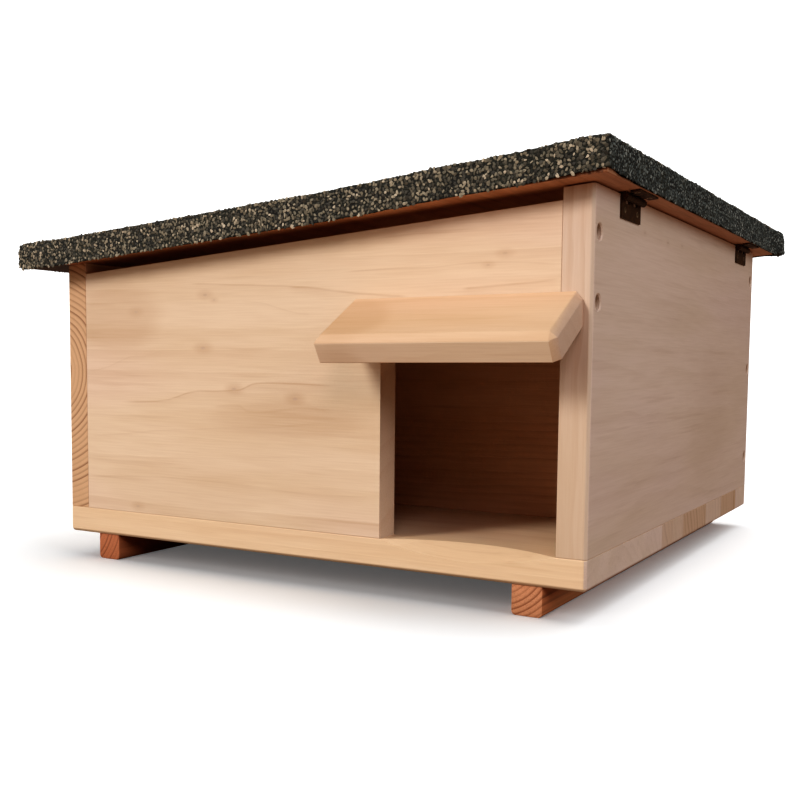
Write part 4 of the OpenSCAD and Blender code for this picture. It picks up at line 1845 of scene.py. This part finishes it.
@dataclass
class Studio:
    """The camera, the pale floor and the soft light."""

    eye: Point = (437.05 * MM, -832.22 * MM, 161.53 * MM)
    yaw: float = 0.5142
    pitch: float = 0.0803
    roll: float = 0.0098
    focal: float = 1051.2
    centre: tuple[float, float] = (400.5, 442.65)
    frame_side: float = 800.0
    sensor: float = 36.0
    bounce: Point = (0.29, 0.205, 0.156)
    white: Point = (0.965, 0.985, 1.0)
    lift: float = 0.092
    level: float = 0.04
    clip: float = 0.01
    floor_side: float = 60.0
    sun_away: float = 3.0
    house_suns: tuple[Sun, ...] = (
        Sun("key", -33, 29, 18, (0.405, 0.41, 0.397)),
        Sun("low_left", -33, 13, 22, (0.108, 0.104, 0.094)),
        Sun("far_left", -60, 27, 34, (0.08, 0.095, 0.105)),
        Sun("near_right", 28, 35, 24, (0.15, 0.13, 0.136)),
        Sun("right", 75, 27, 34, (0.288, 0.322, 0.345)),
        Sun("back", -160, 35, 34, (0.4, 0.4, 0.4)),
    )
    floor_suns: tuple[Sun, ...] = (
        Sun("over_floor", 165, 74, 48, (0.42, 0.42, 0.42)),
        Sun("floor_right", 90, 46, 40, (0.25, 0.25, 0.25)),
        Sun("floor_left", -90, 46, 40, (0.157, 0.157, 0.157)),
        Sun("floor_front", 0, 30, 40, (0.23, 0.23, 0.23)),
    )

    def build(self) -> None:
        """Sets up the whole studio."""
        self.house_only = bpy.data.collections.new("house_only")
        self.floor_only = bpy.data.collections.new("floor_only")
        self.camera()
        self.floor()
        self.world()
        for sun in self.house_suns:
            self.light(sun, self.house_only)
        for sun in self.floor_suns:
            self.light(sun, self.floor_only)
        bpy.context.scene.view_settings.view_transform = "Standard"
        bpy.context.scene.view_settings.look = "High Contrast"

    def camera(self) -> None:
        """Makes the camera from its place, its turns and its focal length in pixels."""
        ahead = -direction(self.yaw, self.pitch)
        level = Vector((math.cos(self.yaw), math.sin(self.yaw), 0))
        up = level.cross(ahead)
        right = level * math.cos(self.roll) + up * math.sin(self.roll)
        over = up * math.cos(self.roll) - level * math.sin(self.roll)
        data = bpy.data.cameras.new("camera")
        data.sensor_width = self.sensor
        data.lens = self.focal / self.frame_side * self.sensor
        data.shift_x = (self.frame_side / 2 - self.centre[0]) / self.frame_side
        data.shift_y = (self.centre[1] - self.frame_side / 2) / self.frame_side
        data.clip_start = self.clip
        camera = bpy.data.objects.new("camera", data)
        bpy.context.scene.collection.objects.link(camera)
        turn = Matrix((right, over, -ahead)).transposed().to_4x4()
        camera.matrix_world = Matrix.Translation(self.eye) @ turn
        bpy.context.scene.camera = camera

    def floor(self) -> None:
        """Lays a floor that looks white, but throws a little warm light back on the house."""
        bpy.ops.object.select_all(action="DESELECT")
        bpy.ops.mesh.primitive_plane_add(size=self.floor_side, location=(0, 0, 0))
        floor = Bench.name("studio_floor")
        kit = NodeKit("studio_floor")
        seen = kit.read(kit.node("LightPath"), "Is Camera Ray")
        warm = kit.node("BsdfDiffuse", values={"Color": (*self.bounce, 1.0)})
        white = kit.node("BsdfDiffuse", values={"Color": (*self.white, 1.0)})
        glow = kit.node("Emission", values={"Color": WHITE, "Strength": self.lift})
        bright = kit.node("AddShader", values={0: kit.read(white), 1: kit.read(glow)})
        both = kit.node("MixShader", values={0: seen, 1: kit.read(warm), 2: kit.read(bright)})
        kit.tree.links.new(both.outputs[0], kit.tree.nodes["Material Output"].inputs["Surface"])
        floor.data.materials.append(kit.material)
        for lit, state in ((self.house_only, "EXCLUDE"), (self.floor_only, "INCLUDE")):
            lit.objects.link(floor)
            lit.collection_objects[0].light_linking.link_state = state

    def world(self) -> None:
        """Makes a faint surround that looks white to the camera."""
        world = bpy.data.worlds.new("surround")
        bpy.context.scene.world = world
        world.use_nodes = True
        world.node_tree.nodes.clear()
        nodes = NodeTree(world.node_tree)
        soft, white = (
            nodes.node("Background", values={"Color": WHITE, "Strength": strength}).outputs[0]
            for strength in (self.level, 1.0)
        )
        seen = nodes.node("LightPath").outputs["Is Camera Ray"]
        mix = nodes.node("MixShader", values={0: seen, 1: soft, 2: white})
        nodes.node("OutputWorld", values={"Surface": mix.outputs[0]})

    def light(self, sun: Sun, lit: bpy.types.Collection) -> None:
        """Hangs one sun.

        Args:
            sun: Its name, direction, spread and strength.
            lit: What it lights, or leaves unlit.
        """
        data = bpy.data.lights.new(sun.name, "SUN")
        data.energy = math.pi
        data.angle = math.radians(sun.spread)
        data.color = sun.strength
        light = bpy.data.objects.new(sun.name, data)
        bpy.context.scene.collection.objects.link(light)
        away = direction(math.radians(sun.azimuth), math.radians(sun.height))
        light.location = away * self.sun_away
        light.rotation_mode = "QUATERNION"
        light.rotation_quaternion = (-away).to_track_quat("-Z", "Y")
        light.light_linking.receiver_collection = lit


def main() -> None:
    """Builds the studio and each part of the house in order."""
    logging.basicConfig(level=logging.INFO, format="%(message)s")
    for part in (Studio(), HouseBox(), Feet(), Porch(), Roof(), Fittings()):
        part.build()
        LOG.info("built %s", type(part).__name__)


if __name__ == "__main__":
    main()
